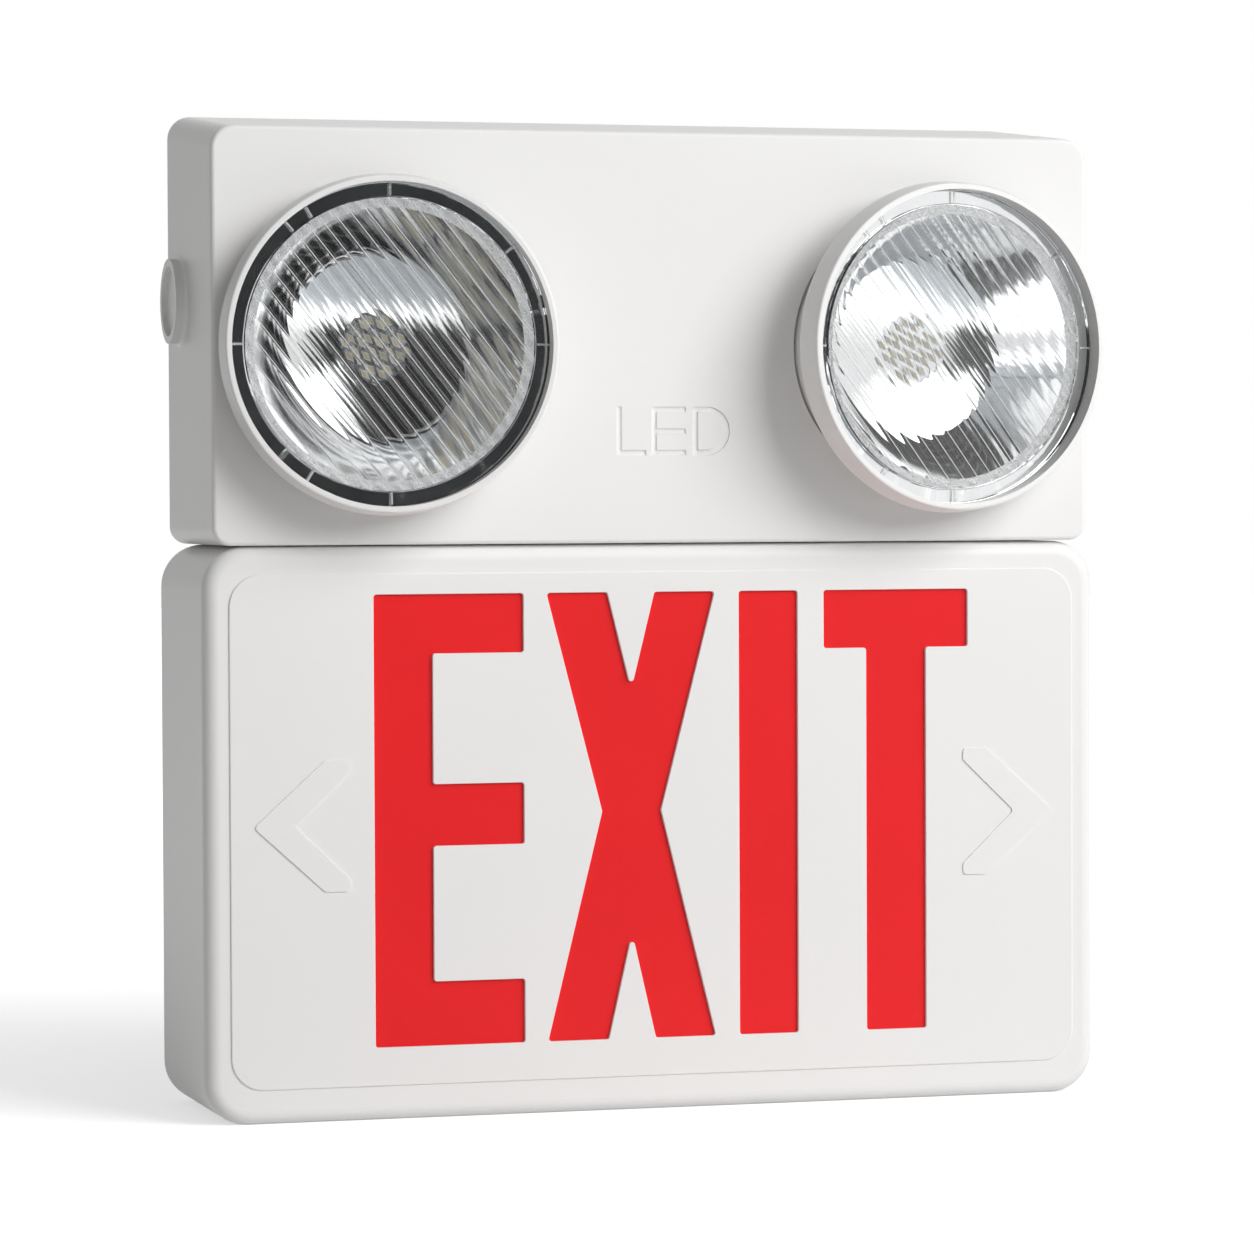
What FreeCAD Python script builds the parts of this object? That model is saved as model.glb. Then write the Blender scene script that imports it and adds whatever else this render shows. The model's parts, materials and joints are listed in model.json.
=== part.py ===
import FreeCAD, Part
import math
import os

# Emergency exit light with two aimable lamp heads. Millimetres, +Z up, front towards -Y.
# The origin is the centre of the sign box's flat underside, at the middle of its depth.

V = FreeCAD.Vector
AXIS_X = V(1, 0, 0)
AXIS_Y = V(0, 1, 0)
AXIS_Z = V(0, 0, 1)

# ---- Sign box: one moulding, open at the back -------------------------------------------
SIGN_W = 316.7
SIGN_D = 75.0
SIGN_CORNER_R = 14.5
SIGN_FRONT_ROUND = 4.9
WALL = 2.5
PANEL_SIDE_MARGIN = 8.35
PANEL_BOTTOM = 11.7
PANEL_TOP_MARGIN = 9.3
PANEL_CORNER_R = 11.0
PANEL_RISE = 0.6
PANEL_EDGE_ROUND = 0.5
STENCIL_WALL = 1.2
POCKET_INSET = 2.0

# ---- Letters of the stencil, 6 in high --------------------------------------------------
LETTER_H = 152.4
LETTER_MARGIN_BELOW = 13.0
LETTER_MARGIN_ABOVE = 7.1
WAIST_ABOVE_MIDDLE = 1.7
BAR_H = 20.0
BOTTOM_BAR_H = 21.7
MIDDLE_BAR_H = 20.8
LETTER_CORNER_R = 1.0
LETTER_EDGE_ROUND = 0.3
E_LEFT = -100.6
E_W = 52.0
E_STEM_W = 20.3
I_STEM_W = 21.1
T_STEM_W = 21.7
X_CENTRE = -10.7
X_HALF_W = 29.8
X_WAIST_HALF_W = 10.4
X_ARM_W = 21.4
X_TOP_NOTCH_DROP = 33.5
X_BOTTOM_NOTCH_RISE = 36.4
I_CENTRE = 38.35
T_CENTRE = 84.75
T_W = 52.6

# ---- Raised chevrons: knock-out direction arrows ------------------------------------------
CHEVRON_TIP_GAP = 8.0
CHEVRON_POINT_L = 24.3
CHEVRON_ARM_L = 32.8
CHEVRON_STROKE_W = 14.0
CHEVRON_END_H = 4.0
CHEVRON_HALF_H = 22.0
CHEVRON_ABOVE_BASE = 75.0
CHEVRON_RISE = 0.5
CHEVRON_CORNER_R = 1.5

# ---- Light box behind the stencil ---------------------------------------------------------
SHEET_T = 1.5
SHEET_CLEAR = 0.05
SHEET_EDGE_CLEAR = 1.0
TRAY_SIDE_INSET = 5.0
TRAY_END_INSET = 3.75
TRAY_D = 28.0
TRAY_WALL = 1.5
TRAY_CORNER_R = 8.0
TRAY_SCREW_X = 100.0
TRAY_EAR_W = 10.0
TRAY_BOSS_H = 6.0
TRAY_BOSS_R = 3.2
BAR_END_GAP = 10.0
BAR_BOARD_W = 12.0
BOARD_T = 1.6
CHIP = 3.0
CHIP_T = 1.0
CHIPS_PER_BAR = 10
CHIP_END_GAP = 18.0

# ---- Back plates and their screws ---------------------------------------------------------
PLATE_T = 3.0
PLATE_CLEAR = 0.3
POST_R = 4.5
SIGN_POST_INSET = 6.2
LAMP_POST_INSET = 4.0
POST_GAP = 0.2
SCREW_R = 1.5
SCREW_L = 12.0
SCREW_BITE_CLEAR = 0.02
SCREW_HOLE_CLEAR = 0.2
SCREW_HEAD_R = 2.8
SCREW_HEAD_H = 1.8
SCREW_TIP_GAP = 1.0
HEAD_SUNK = 0.1
HEAD_POCKET_CLEAR = 0.2
BOX_HOLE_SPACING = 88.9
BOX_HOLE_R = 2.4
WIRE_ENTRY_R = 11.1
WIRE_ENTRY_Z = 97.0

# ---- Lamp housing above the sign ----------------------------------------------------------
SEAM = 0.3
LAMP_SIDE_STEP = 3.15
LAMP_FRONT_H = 139.7
LAMP_TOP_RISE = 8.1
LAMP_TOP_CORNER_R = 8.0
LAMP_BOTTOM_CORNER_R = 6.0
LAMP_FRONT_ROUND = 1.5
KNOCKOUT_FROM_BACK = 20.5
KNOCKOUT_ABOVE_BASE = 83.2
KNOCKOUT_R = 14.5
KNOCKOUT_RISE = 4.0
KNOCKOUT_RECESS_R = 12.0
KNOCKOUT_RECESS = 1.8
KNOCKOUT_WEB = 1.2
KNOCKOUT_BASE_ROUND = 1.5
NIPPLE_R = 8.0
NIPPLE_BORE_R = 5.5
NIPPLE_OVERHANG = 2.5
NIPPLE_CLEAR = 0.1
NUT_ACROSS_FLATS = 22.0
NUT_T = 3.0

# ---- Lamp heads. "Ahead" is measured from the pivot along the head's own axis ---------------
COLLAR_TO_WALL = 1.95
PIVOT_ABOVE_BASE = 66.7
PIVOT_DEPTH = 10.0
LEFT_TURN_ANGLE = -4.0
RIGHT_TURN_ANGLE = 8.5
RIM_AHEAD = 33.0
RIM_R = 55.85
RIM_WALL = 2.05
RIM_ROUND = 0.8
BAND_L = 11.4
BAND_FLARE = 1.15
BAND_ROUND = 1.4
NECK_STEP = 3.0
NECK_WALL_STEP = 1.6
BALL_R = 48.5
BALL_WALL = 1.9
SKIRT_BACK = -9.0
SEAT_W = 3.6
SEAT_WALL = 1.8
SEAT_FLOOR_STEP = 0.6
THROAT_WALL = 2.0
THROAT_FLARE = 1.6
OPENING_CLEAR = 1.0

# ---- Lens, reflector and LED engine of a head ----------------------------------------------
FIT_R = 0.1
FLANGE_T = 0.9
SEAT_CLEAR = 0.05
LENS_T = 2.0
LENS_FLANGE_W = 4.95
LENS_OVERLAP = 1.0
LENS_DISC_RISE = 0.8
LENS_DOME_RISE = 1.6
FLUTES = 20
FLUTE_DEPTH = 0.5
FLUTE_ANGLE = 52.0
FLUTED_R = 45.6
STEP_RING_PROUD = 0.5
MIRROR_WALL = 1.0
MIRROR_LIP = 1.8
MIRROR_CLEAR = 0.3
MIRROR_BASE_INSET = 8.0
MIRROR_BASE_AHEAD = -6.0
ENGINE_TO_BALL = 9.0
ENGINE_SCREW_INSET = 3.5
ENGINE_SCREW_TIP_GAP = 2.0
ENGINE_BOSS_R = 2.6
ENGINE_BOSS_H = 6.0
HEAD_CHIP = 3.5
HEAD_CHIP_T = 0.9
HEAD_CHIP_PITCH = 5.5
HEAD_CHIP_ROWS = 4
SINK_BASE_T = 2.0
SINK_FIN_H = 11.0
SINK_FIN_T = 1.5
SINK_FINS = 7
SINK_FIN_PITCH = 8.0
SINK_FIN_INSET = 9.0
SMALL_SCREW_R = 1.25
SMALL_HEAD_R = 2.4
SMALL_HEAD_H = 1.6

# ---- Swivel ring, its collar and retainer ---------------------------------------------------
RING_CLEAR = 0.5
RING_WALL = 3.0
RING_BACK = -5.0
RING_PLAY = 0.2
TURN_CLEAR = 0.05
COLLAR_WALL = 2.4
RETAINER_T = 2.0
RETAINER_EDGE_STEP = 0.4
RETAINER_SCREW_OUT = 5.4
RETAINER_SCREW_TIP_GAP = 4.0
RETAINER_LUG_R = 3.8
RETAINER_BOSS_R = 3.2
PIN_R = 2.0
PIN_STEP = 0.3
PIN_RECESS = 0.1
PIN_PRESS_CLEAR = 0.01
PIN_RUN_CLEAR = 0.05
EAR_R = 5.0
EAR_DEPTH = 5.0

# ---- Battery, charger board and test controls -----------------------------------------------
CELL_R = 11.3
CELL_L = 43.0
CELLS = 3
BATTERY_X = -57.4
BATTERY_Z = 20.0
CLIP_T = 1.2
CLIP_H = 24.0
CLIP_LIP_H = 12.0
CHARGER_W = 76.0
CHARGER_H = 88.0
CHARGER_ABOVE_BASE = 22.2
STANDOFF_H = 8.0
STANDOFF_R = 3.0
STANDOFF_INSET = 5.0
TRANSFORMER_W = 34.0
TRANSFORMER_H = 28.0
TRANSFORMER_D = 24.0
TRANSFORMER_EDGE = 2.0
COIL_W = 24.0
COIL_H = 38.0
COIL_D = 16.0
TERMINAL_W = 30.0
TERMINAL_H = 9.0
TERMINAL_D = 12.0
TERMINAL_RISE = 11.0
TERMINAL_HOLE_R = 2.2
TERMINAL_HOLE_DEPTH = 6.3
TERMINAL_PITCH = 9.0
CAPACITOR_R = 5.0
CAPACITOR_L = 16.0
CAPACITOR_PITCH = 15.0
CAPACITOR_DROP = 12.0
RELAY_W = 19.0
RELAY_H = 15.0
RELAY_D = 15.0
RELAY_EDGE = 10.0
CONTROL_Y = 12.0
BUTTON_Z = 104.0
PILOT_BELOW_BUTTON = 20.0
SWITCH_R = 6.0
SWITCH_BEZEL_R = 7.5
SWITCH_BEZEL_T = 1.2
SWITCH_DEPTH = 18.0
SWITCH_CAP_T = 5.5
SWITCH_CAVITY_R = 5.0
SWITCH_CAVITY_L = 8.0
SWITCH_NUT_ACROSS_FLATS = 16.0
SWITCH_NUT_T = 2.0
BUTTON_R = 3.9
BUTTON_PROUD = 2.0
BUTTON_FLANGE_T = 1.5
BUTTON_REST_GAP = 0.2
PANEL_HOLE_CLEAR = 0.1
PILOT_R = 3.9
PILOT_BEZEL_R = 5.0
PILOT_BEZEL_T = 1.0
PILOT_DEPTH = 12.0
PILOT_LENS_R = 3.0
PILOT_LENS_H = 2.6
PILOT_LENS_ROUND = 1.4

# ---- Planes and places that several pieces share ---------------------------------------------
PAST = 1.0  # how far a cutter runs past the face that it opens
PANEL_W = SIGN_W - 2 * PANEL_SIDE_MARGIN
PANEL_H = LETTER_MARGIN_BELOW + LETTER_H + LETTER_MARGIN_ABOVE
PANEL_TOP = PANEL_BOTTOM + PANEL_H
SIGN_H = PANEL_TOP + PANEL_TOP_MARGIN
LETTER_BASE = PANEL_BOTTOM + LETTER_MARGIN_BELOW
LETTER_TOP = LETTER_BASE + LETTER_H
LETTER_WAIST = LETTER_BASE + LETTER_H / 2 + WAIST_ABOVE_MIDDLE
CHEVRON_TIP = PANEL_W / 2 - CHEVRON_TIP_GAP
CHEVRON_Z = LETTER_BASE + CHEVRON_ABOVE_BASE
SIGN_FRONT = -SIGN_D / 2
BACK = SIGN_D / 2
PANEL_FRONT = SIGN_FRONT - PANEL_RISE
SIGN_INNER_FRONT = SIGN_FRONT + WALL
PLATE_FRONT = BACK - PLATE_T
POST_END = PLATE_FRONT - POST_GAP
SHEET_FRONT = PANEL_FRONT + STENCIL_WALL + SHEET_CLEAR
TRAY_FRONT = SHEET_FRONT + SHEET_T + SHEET_CLEAR
TRAY_W = PANEL_W - 2 * TRAY_SIDE_INSET
TRAY_H = PANEL_H - 2 * TRAY_END_INSET
TRAY_BOTTOM = PANEL_BOTTOM + TRAY_END_INSET
TRAY_MIDDLE = TRAY_BOTTOM + TRAY_H / 2
BAR_LENGTH = TRAY_W - 2 * BAR_END_GAP
TRAY_EAR_Y = SIGN_INNER_FRONT + TRAY_BOSS_H
LAMP_W = SIGN_W - 2 * LAMP_SIDE_STEP
LAMP_BASE = SIGN_H + SEAM
LAMP_FRONT = PANEL_FRONT
LAMP_INNER_FRONT = LAMP_FRONT + WALL
KNOCKOUT_Y = BACK - KNOCKOUT_FROM_BACK
KNOCKOUT_Z = LAMP_BASE + KNOCKOUT_ABOVE_BASE
PIVOT_Y = LAMP_FRONT + PIVOT_DEPTH
PIVOT_Z = LAMP_BASE + PIVOT_ABOVE_BASE
BAND_AHEAD = RIM_AHEAD - BAND_L
BAND_R = RIM_R + BAND_FLARE
NECK_AHEAD = BAND_AHEAD - NECK_STEP
NECK_WALL_AHEAD = NECK_AHEAD - NECK_WALL_STEP
INNER_BALL_R = BALL_R - BALL_WALL
SEAT_FLOOR_AHEAD = BAND_AHEAD + SEAT_FLOOR_STEP
SEAT_AHEAD = SEAT_FLOOR_AHEAD + SEAT_WALL
SEAT_R = RIM_R - RIM_WALL
SEAT_INNER_R = SEAT_R - SEAT_W
THROAT_AHEAD = NECK_AHEAD + THROAT_WALL
THROAT_R = math.sqrt(INNER_BALL_R ** 2 - NECK_WALL_AHEAD ** 2) + THROAT_FLARE
OPENING_R = math.sqrt(BALL_R ** 2 - PIVOT_DEPTH ** 2) + OPENING_CLEAR
RING_INNER_R = BALL_R + RING_CLEAR
RING_OUTER_R = RING_INNER_R + RING_WALL
RING_FRONT = PIVOT_DEPTH - WALL - RING_PLAY
RETAINER_FRONT = RING_BACK - RING_PLAY
COLLAR_R = RING_OUTER_R + TURN_CLEAR
PIVOT_X = LAMP_W / 2 - WALL - COLLAR_TO_WALL - COLLAR_WALL - COLLAR_R
RETAINER_INNER_R = RING_INNER_R + RETAINER_EDGE_STEP
RETAINER_SCREW_R = COLLAR_R + RETAINER_SCREW_OUT
EAR_INNER = BALL_R - EAR_DEPTH
PIN_INNER = EAR_INNER + PIN_STEP
LENS_R = SEAT_R - FIT_R
LENS_DISC_R = LENS_R - LENS_FLANGE_W
FLANGE_FRONT = SEAT_AHEAD + SEAT_CLEAR + FLANGE_T
LENS_BACK = FLANGE_FRONT + SEAT_CLEAR
MIRROR_RIM_AHEAD = THROAT_AHEAD + MIRROR_LIP
MIRROR_MOUTH_R = THROAT_R - MIRROR_CLEAR - MIRROR_WALL
ENGINE_R = BALL_R - ENGINE_TO_BALL
ENGINE_SCREW_R = ENGINE_R - ENGINE_SCREW_INSET
MIRROR_BASE_R = ENGINE_SCREW_R - MIRROR_BASE_INSET
SINK_FIN_REACH = ENGINE_R - SINK_FIN_INSET
BOARD_AHEAD = MIRROR_BASE_AHEAD - SEAT_CLEAR
SINK_AHEAD = BOARD_AHEAD - BOARD_T - SEAT_CLEAR
TAP_R = SCREW_R + SCREW_BITE_CLEAR
HOLE_R = SCREW_R + SCREW_HOLE_CLEAR
SMALL_TAP_R = SMALL_SCREW_R + SCREW_BITE_CLEAR
SMALL_HOLE_R = SMALL_SCREW_R + SCREW_HOLE_CLEAR
CHARGER_Z = LAMP_BASE + CHARGER_ABOVE_BASE
CHARGER_BACK = PLATE_FRONT - STANDOFF_H
CHARGER_FRONT = CHARGER_BACK - BOARD_T
BATTERY_Y = PLATE_FRONT - CLIP_T - CELL_R
PILOT_Z = BUTTON_Z - PILOT_BELOW_BUTTON
SPHERE = "arc about the pivot"


# ---- General shapes -----------------------------------------------------------------------
def box(x0, x1, y0, y1, z0, z1):
    return Part.makeBox(x1 - x0, y1 - y0, z1 - z0, V(x0, y0, z0))


def rod(radius, start, end):
    way = end - start
    return Part.makeCylinder(radius, way.Length, start, way)


def outline(corners, place):
    """Closed wire through (u, v, corner radius) points; place turns u, v into a 3-D point."""
    points = [V(u, v, 0) for u, v, _ in corners]
    ends = []
    edges = []
    for i, (_, _, radius) in enumerate(corners):
        before = (points[i - 1] - points[i]).normalize()
        after = (points[(i + 1) % len(points)] - points[i]).normalize()
        half = before.getAngle(after) / 2
        reach = radius / math.tan(half)
        first = points[i] + before * reach
        last = points[i] + after * reach
        if radius:
            middle = points[i] + (before + after).normalize() * (radius / math.sin(half) - radius)
            edges.append(Part.Arc(place(first), place(middle), place(last)).toShape())
        ends.append((first, last))
    for (_, start), (end, _) in zip(ends, ends[1:] + ends[:1]):
        edges.append(Part.makeLine(place(start), place(end)))
    return Part.Wire(Part.__sortEdges__(edges))


def front_outline(corners, y):
    return outline(corners, lambda p: V(p.x, y, p.y))


def slab(corners, y0, y1):
    """Plate with the given front-view outline, from y0 back to y1."""
    return Part.Face(front_outline(corners, y0)).extrude(V(0, y1 - y0, 0))


def rectangle(x0, x1, z0, z1, radius):
    return [(x0, z0, radius), (x1, z0, radius), (x1, z1, radius), (x0, z1, radius)]


def hexagon(across_flats, start, end):
    """Hexagonal prism around the line from start to end."""
    way = end - start
    corner_r = across_flats / math.sqrt(3)
    ring = [V(corner_r * math.cos(a), corner_r * math.sin(a), 0) for a in sixths()]
    prism = Part.Face(Part.makePolygon(ring + ring[:1])).extrude(V(0, 0, way.Length))
    prism.Placement = FreeCAD.Placement(start, FreeCAD.Rotation(AXIS_Z, way))
    return prism


def sixths():
    return [math.radians(60 * i) for i in range(6)]


def round_edges(solid, radius, chosen):
    return solid.makeFillet(radius, [edge for edge in solid.Edges if chosen(edge)])


def lies_in_plane(edge, y):
    extent = edge.BoundBox
    return abs(extent.YMin - y) < 1e-4 and abs(extent.YMax - y) < 1e-4


def nut(across_flats, bore_r, start, end):
    return hexagon(across_flats, start, end).cut(rod(bore_r, start, end))


def screw(head_at, way, length, shank_r, head_r, head_h):
    """Pan-head screw whose head ends at head_at and whose shank runs on along way."""
    under_head = head_at + way * head_h
    shank = rod(shank_r, under_head, under_head + way * length)
    return fused(rod(head_r, head_at, under_head), [shank])


def fused(first, others):
    return first.fuse(list(others)).removeSplitter()


def save(name, shape):
    solids = shape.Solids
    result = solids[0] if len(solids) == 1 else Part.makeCompound(solids)
    result.exportStep("parts/" + name + ".step")
    print(name, len(solids), "solid(s)", round(result.Volume, 1), "mm3", result.isValid())


# ---- Sign box -----------------------------------------------------------------------------
def letter_e():
    stem = E_LEFT + E_STEM_W
    right = E_LEFT + E_W
    low_bar = LETTER_BASE + BOTTOM_BAR_H
    middle_low = LETTER_WAIST - MIDDLE_BAR_H / 2
    middle_high = LETTER_WAIST + MIDDLE_BAR_H / 2
    high_bar = LETTER_TOP - BAR_H
    return [
        (E_LEFT, LETTER_BASE), (right, LETTER_BASE), (right, low_bar), (stem, low_bar),
        (stem, middle_low), (right, middle_low), (right, middle_high), (stem, middle_high),
        (stem, high_bar), (right, high_bar), (right, LETTER_TOP), (E_LEFT, LETTER_TOP),
    ]


def letter_x():
    left = X_CENTRE - X_HALF_W
    right = X_CENTRE + X_HALF_W
    return [
        (left, LETTER_BASE), (left + X_ARM_W, LETTER_BASE),
        (X_CENTRE, LETTER_BASE + X_BOTTOM_NOTCH_RISE), (right - X_ARM_W, LETTER_BASE),
        (right, LETTER_BASE), (X_CENTRE + X_WAIST_HALF_W, LETTER_WAIST), (right, LETTER_TOP),
        (right - X_ARM_W, LETTER_TOP), (X_CENTRE, LETTER_TOP - X_TOP_NOTCH_DROP),
        (left + X_ARM_W, LETTER_TOP), (left, LETTER_TOP),
        (X_CENTRE - X_WAIST_HALF_W, LETTER_WAIST),
    ]


def letter_i():
    left = I_CENTRE - I_STEM_W / 2
    right = I_CENTRE + I_STEM_W / 2
    return [(left, LETTER_BASE), (right, LETTER_BASE), (right, LETTER_TOP), (left, LETTER_TOP)]


def letter_t():
    half = T_W / 2
    stem = T_STEM_W / 2
    under_bar = LETTER_TOP - BAR_H
    return [
        (T_CENTRE - stem, LETTER_BASE), (T_CENTRE + stem, LETTER_BASE),
        (T_CENTRE + stem, under_bar), (T_CENTRE + half, under_bar), (T_CENTRE + half, LETTER_TOP),
        (T_CENTRE - half, LETTER_TOP), (T_CENTRE - half, under_bar), (T_CENTRE - stem, under_bar),
    ]


def letter_cutters():
    letters = [letter_e(), letter_x(), letter_i(), letter_t()]
    return [
        slab([(x, z, LETTER_CORNER_R) for x, z in points], PANEL_FRONT - PAST, SIGN_INNER_FRONT + PAST)
        for points in letters
    ]


def is_letter_edge(edge):
    extent = edge.BoundBox
    inside = abs(extent.Center.x) < PANEL_W / 2 - CHEVRON_TIP_GAP - CHEVRON_ARM_L
    between = LETTER_BASE - PAST < extent.ZMin and extent.ZMax < LETTER_TOP + PAST
    return lies_in_plane(edge, PANEL_FRONT) and inside and between


def chevron(side):
    """Raised arrow on the panel; side is -1 for the left one and 1 for the right one."""
    arm_end = CHEVRON_TIP - CHEVRON_ARM_L
    upper_arm = [
        (CHEVRON_TIP - CHEVRON_POINT_L, CHEVRON_HALF_H), (arm_end, CHEVRON_HALF_H),
        (arm_end, CHEVRON_HALF_H - CHEVRON_END_H),
    ]
    lower_arm = [(x, -rise) for x, rise in reversed(upper_arm)]
    points = [(CHEVRON_TIP, 0)] + upper_arm + [(CHEVRON_TIP - CHEVRON_STROKE_W, 0)] + lower_arm
    corners = [(side * x, CHEVRON_Z + rise, CHEVRON_CORNER_R) for x, rise in points]
    return slab(corners, PANEL_FRONT - CHEVRON_RISE, PANEL_FRONT + PANEL_RISE)


def sign_corners(inset):
    return [(x, z) for x in (inset - SIGN_W / 2, SIGN_W / 2 - inset) for z in (inset, SIGN_H - inset)]


def sign_post_places():
    return sign_corners(WALL + SIGN_POST_INSET)


def post(x, z, front):
    solid = rod(POST_R, V(x, front, z), V(x, POST_END, z))
    return solid.cut(rod(TAP_R, V(x, POST_END - SCREW_L, z), V(x, POST_END + PAST, z)))


def tray_boss_places():
    """Half way between the box's bottom or top wall and the panel's pocket."""
    low = (WALL + PANEL_BOTTOM + POCKET_INSET) / 2
    high = SIGN_H - (WALL + PANEL_TOP_MARGIN + POCKET_INSET) / 2
    return [(x, z) for x in (-TRAY_SCREW_X, TRAY_SCREW_X) for z in (low, high)]


def tray_boss(x, z):
    solid = rod(TRAY_BOSS_R, V(x, SIGN_INNER_FRONT - WALL / 2, z), V(x, TRAY_EAR_Y, z))
    return solid.cut(rod(SMALL_TAP_R, V(x, SIGN_INNER_FRONT, z), V(x, TRAY_EAR_Y + PAST, z)))


def inner_rectangle(width, low, high, radius):
    return rectangle(-width / 2, width / 2, low, high, radius)


def sign_housing():
    shell = slab(inner_rectangle(SIGN_W, 0, SIGN_H, SIGN_CORNER_R), SIGN_FRONT, BACK)
    shell = round_edges(shell, SIGN_FRONT_ROUND, lambda e: lies_in_plane(e, SIGN_FRONT))
    panel = slab(
        inner_rectangle(PANEL_W, PANEL_BOTTOM, PANEL_TOP, PANEL_CORNER_R),
        PANEL_FRONT, SIGN_FRONT + WALL / 2,
    )
    panel = round_edges(panel, PANEL_EDGE_ROUND, lambda e: lies_in_plane(e, PANEL_FRONT))
    shell = fused(shell, [panel, chevron(-1), chevron(1)])
    cavity = slab(
        inner_rectangle(SIGN_W - 2 * WALL, WALL, SIGN_H - WALL, SIGN_CORNER_R - WALL),
        SIGN_INNER_FRONT, BACK + PAST,
    )
    pocket = slab(
        inner_rectangle(
            PANEL_W - 2 * POCKET_INSET, PANEL_BOTTOM + POCKET_INSET, PANEL_TOP - POCKET_INSET,
            PANEL_CORNER_R - POCKET_INSET,
        ),
        PANEL_FRONT + STENCIL_WALL, SIGN_INNER_FRONT + PAST,
    )
    shell = shell.cut([cavity, pocket] + letter_cutters())
    shell = round_edges(shell, LETTER_EDGE_ROUND, is_letter_edge)
    posts = [post(x, z, SIGN_INNER_FRONT - WALL / 2) for x, z in sign_post_places()]
    bosses = [tray_boss(x, z) for x, z in tray_boss_places()]
    return fused(shell, posts + bosses).cut([nipple_hole()] + control_holes())


def red_diffuser():
    inset = POCKET_INSET + SHEET_EDGE_CLEAR
    return slab(
        inner_rectangle(
            PANEL_W - 2 * inset, PANEL_BOTTOM + inset, PANEL_TOP - inset, PANEL_CORNER_R - inset
        ),
        SHEET_FRONT, SHEET_FRONT + SHEET_T,
    )


def light_tray():
    top = TRAY_BOTTOM + TRAY_H
    tray = slab(inner_rectangle(TRAY_W, TRAY_BOTTOM, top, TRAY_CORNER_R), TRAY_FRONT, TRAY_FRONT + TRAY_D)
    hollow = slab(
        inner_rectangle(
            TRAY_W - 2 * TRAY_WALL, TRAY_BOTTOM + TRAY_WALL, top - TRAY_WALL, TRAY_CORNER_R - TRAY_WALL
        ),
        TRAY_FRONT - PAST, TRAY_FRONT + TRAY_D - TRAY_WALL,
    )
    ears = [tray_ear(x, z) for x, z in tray_boss_places()]
    holes = [
        rod(SMALL_HOLE_R, V(x, TRAY_EAR_Y - PAST, z), V(x, TRAY_EAR_Y + TRAY_WALL + PAST, z))
        for x, z in tray_boss_places()
    ]
    return fused(tray, ears).cut([hollow] + holes)


def tray_ear(x, z):
    side = math.copysign(1, z - TRAY_MIDDLE)
    outer = z + side * TRAY_BOSS_R
    inner = TRAY_MIDDLE + side * (TRAY_H - TRAY_WALL) / 2
    low, high = sorted([outer, inner])
    half = TRAY_EAR_W / 2
    return box(x - half, x + half, TRAY_EAR_Y, TRAY_EAR_Y + TRAY_WALL, low, high)


def tray_screws():
    head_y = TRAY_EAR_Y + TRAY_WALL + SMALL_HEAD_H
    length = TRAY_WALL + TRAY_BOSS_H - SCREW_TIP_GAP
    return Part.makeCompound([
        screw(V(x, head_y, z), -AXIS_Y, length, SMALL_SCREW_R, SMALL_HEAD_R, SMALL_HEAD_H)
        for x, z in tray_boss_places()
    ])


def bar_board_z(side):
    """Height of the board's outer face; side is -1 for the lower bar and 1 for the upper one."""
    return TRAY_MIDDLE + side * (TRAY_H / 2 - TRAY_WALL)


def bar_y():
    return TRAY_FRONT + (TRAY_D - TRAY_WALL) / 2


def led_bar(side):
    low, high = sorted([bar_board_z(side), bar_board_z(side) - side * BOARD_T])
    half_l = BAR_LENGTH / 2
    half_w = BAR_BOARD_W / 2
    return box(-half_l, half_l, bar_y() - half_w, bar_y() + half_w, low, high)


def sign_leds():
    first = CHIP_END_GAP - BAR_LENGTH / 2
    pitch = -2 * first / (CHIPS_PER_BAR - 1)
    half = CHIP / 2
    chips = []
    for side in (-1, 1):
        board_face = bar_board_z(side) - side * BOARD_T
        low, high = sorted([board_face, board_face - side * CHIP_T])
        for i in range(CHIPS_PER_BAR):
            x = first + pitch * i
            chips.append(box(x - half, x + half, bar_y() - half, bar_y() + half, low, high))
    return Part.makeCompound(chips)


def screw_through_plate(x, z):
    """Hole and head pocket for one back plate screw."""
    past = V(x, BACK + PAST, z)
    hole = rod(HOLE_R, V(x, PLATE_FRONT - PAST, z), past)
    pocket = rod(SCREW_HEAD_R + HEAD_POCKET_CLEAR, V(x, BACK - SCREW_HEAD_H - HEAD_SUNK, z), past)
    return [hole, pocket]


def plate_screws(places):
    length = SCREW_L + PLATE_T - SCREW_HEAD_H - SCREW_TIP_GAP
    return Part.makeCompound([
        screw(V(x, BACK - HEAD_SUNK, z), -AXIS_Y, length, SCREW_R, SCREW_HEAD_R, SCREW_HEAD_H)
        for x, z in places
    ])


def sign_back_plate():
    inset = WALL + PLATE_CLEAR
    plate = slab(
        inner_rectangle(SIGN_W - 2 * inset, inset, SIGN_H - inset, SIGN_CORNER_R - inset),
        PLATE_FRONT, BACK,
    )
    half = BOX_HOLE_SPACING / 2
    cutters = [
        rod(radius, V(x, PLATE_FRONT - PAST, WIRE_ENTRY_Z), V(x, BACK + PAST, WIRE_ENTRY_Z))
        for radius, x in ((WIRE_ENTRY_R, 0), (BOX_HOLE_R, -half), (BOX_HOLE_R, half))
    ]
    for x, z in sign_post_places():
        cutters += screw_through_plate(x, z)
    return plate.cut(cutters)


# ---- Lamp housing -------------------------------------------------------------------------
def top_slope():
    return LAMP_TOP_RISE / (BACK - LAMP_FRONT)


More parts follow.
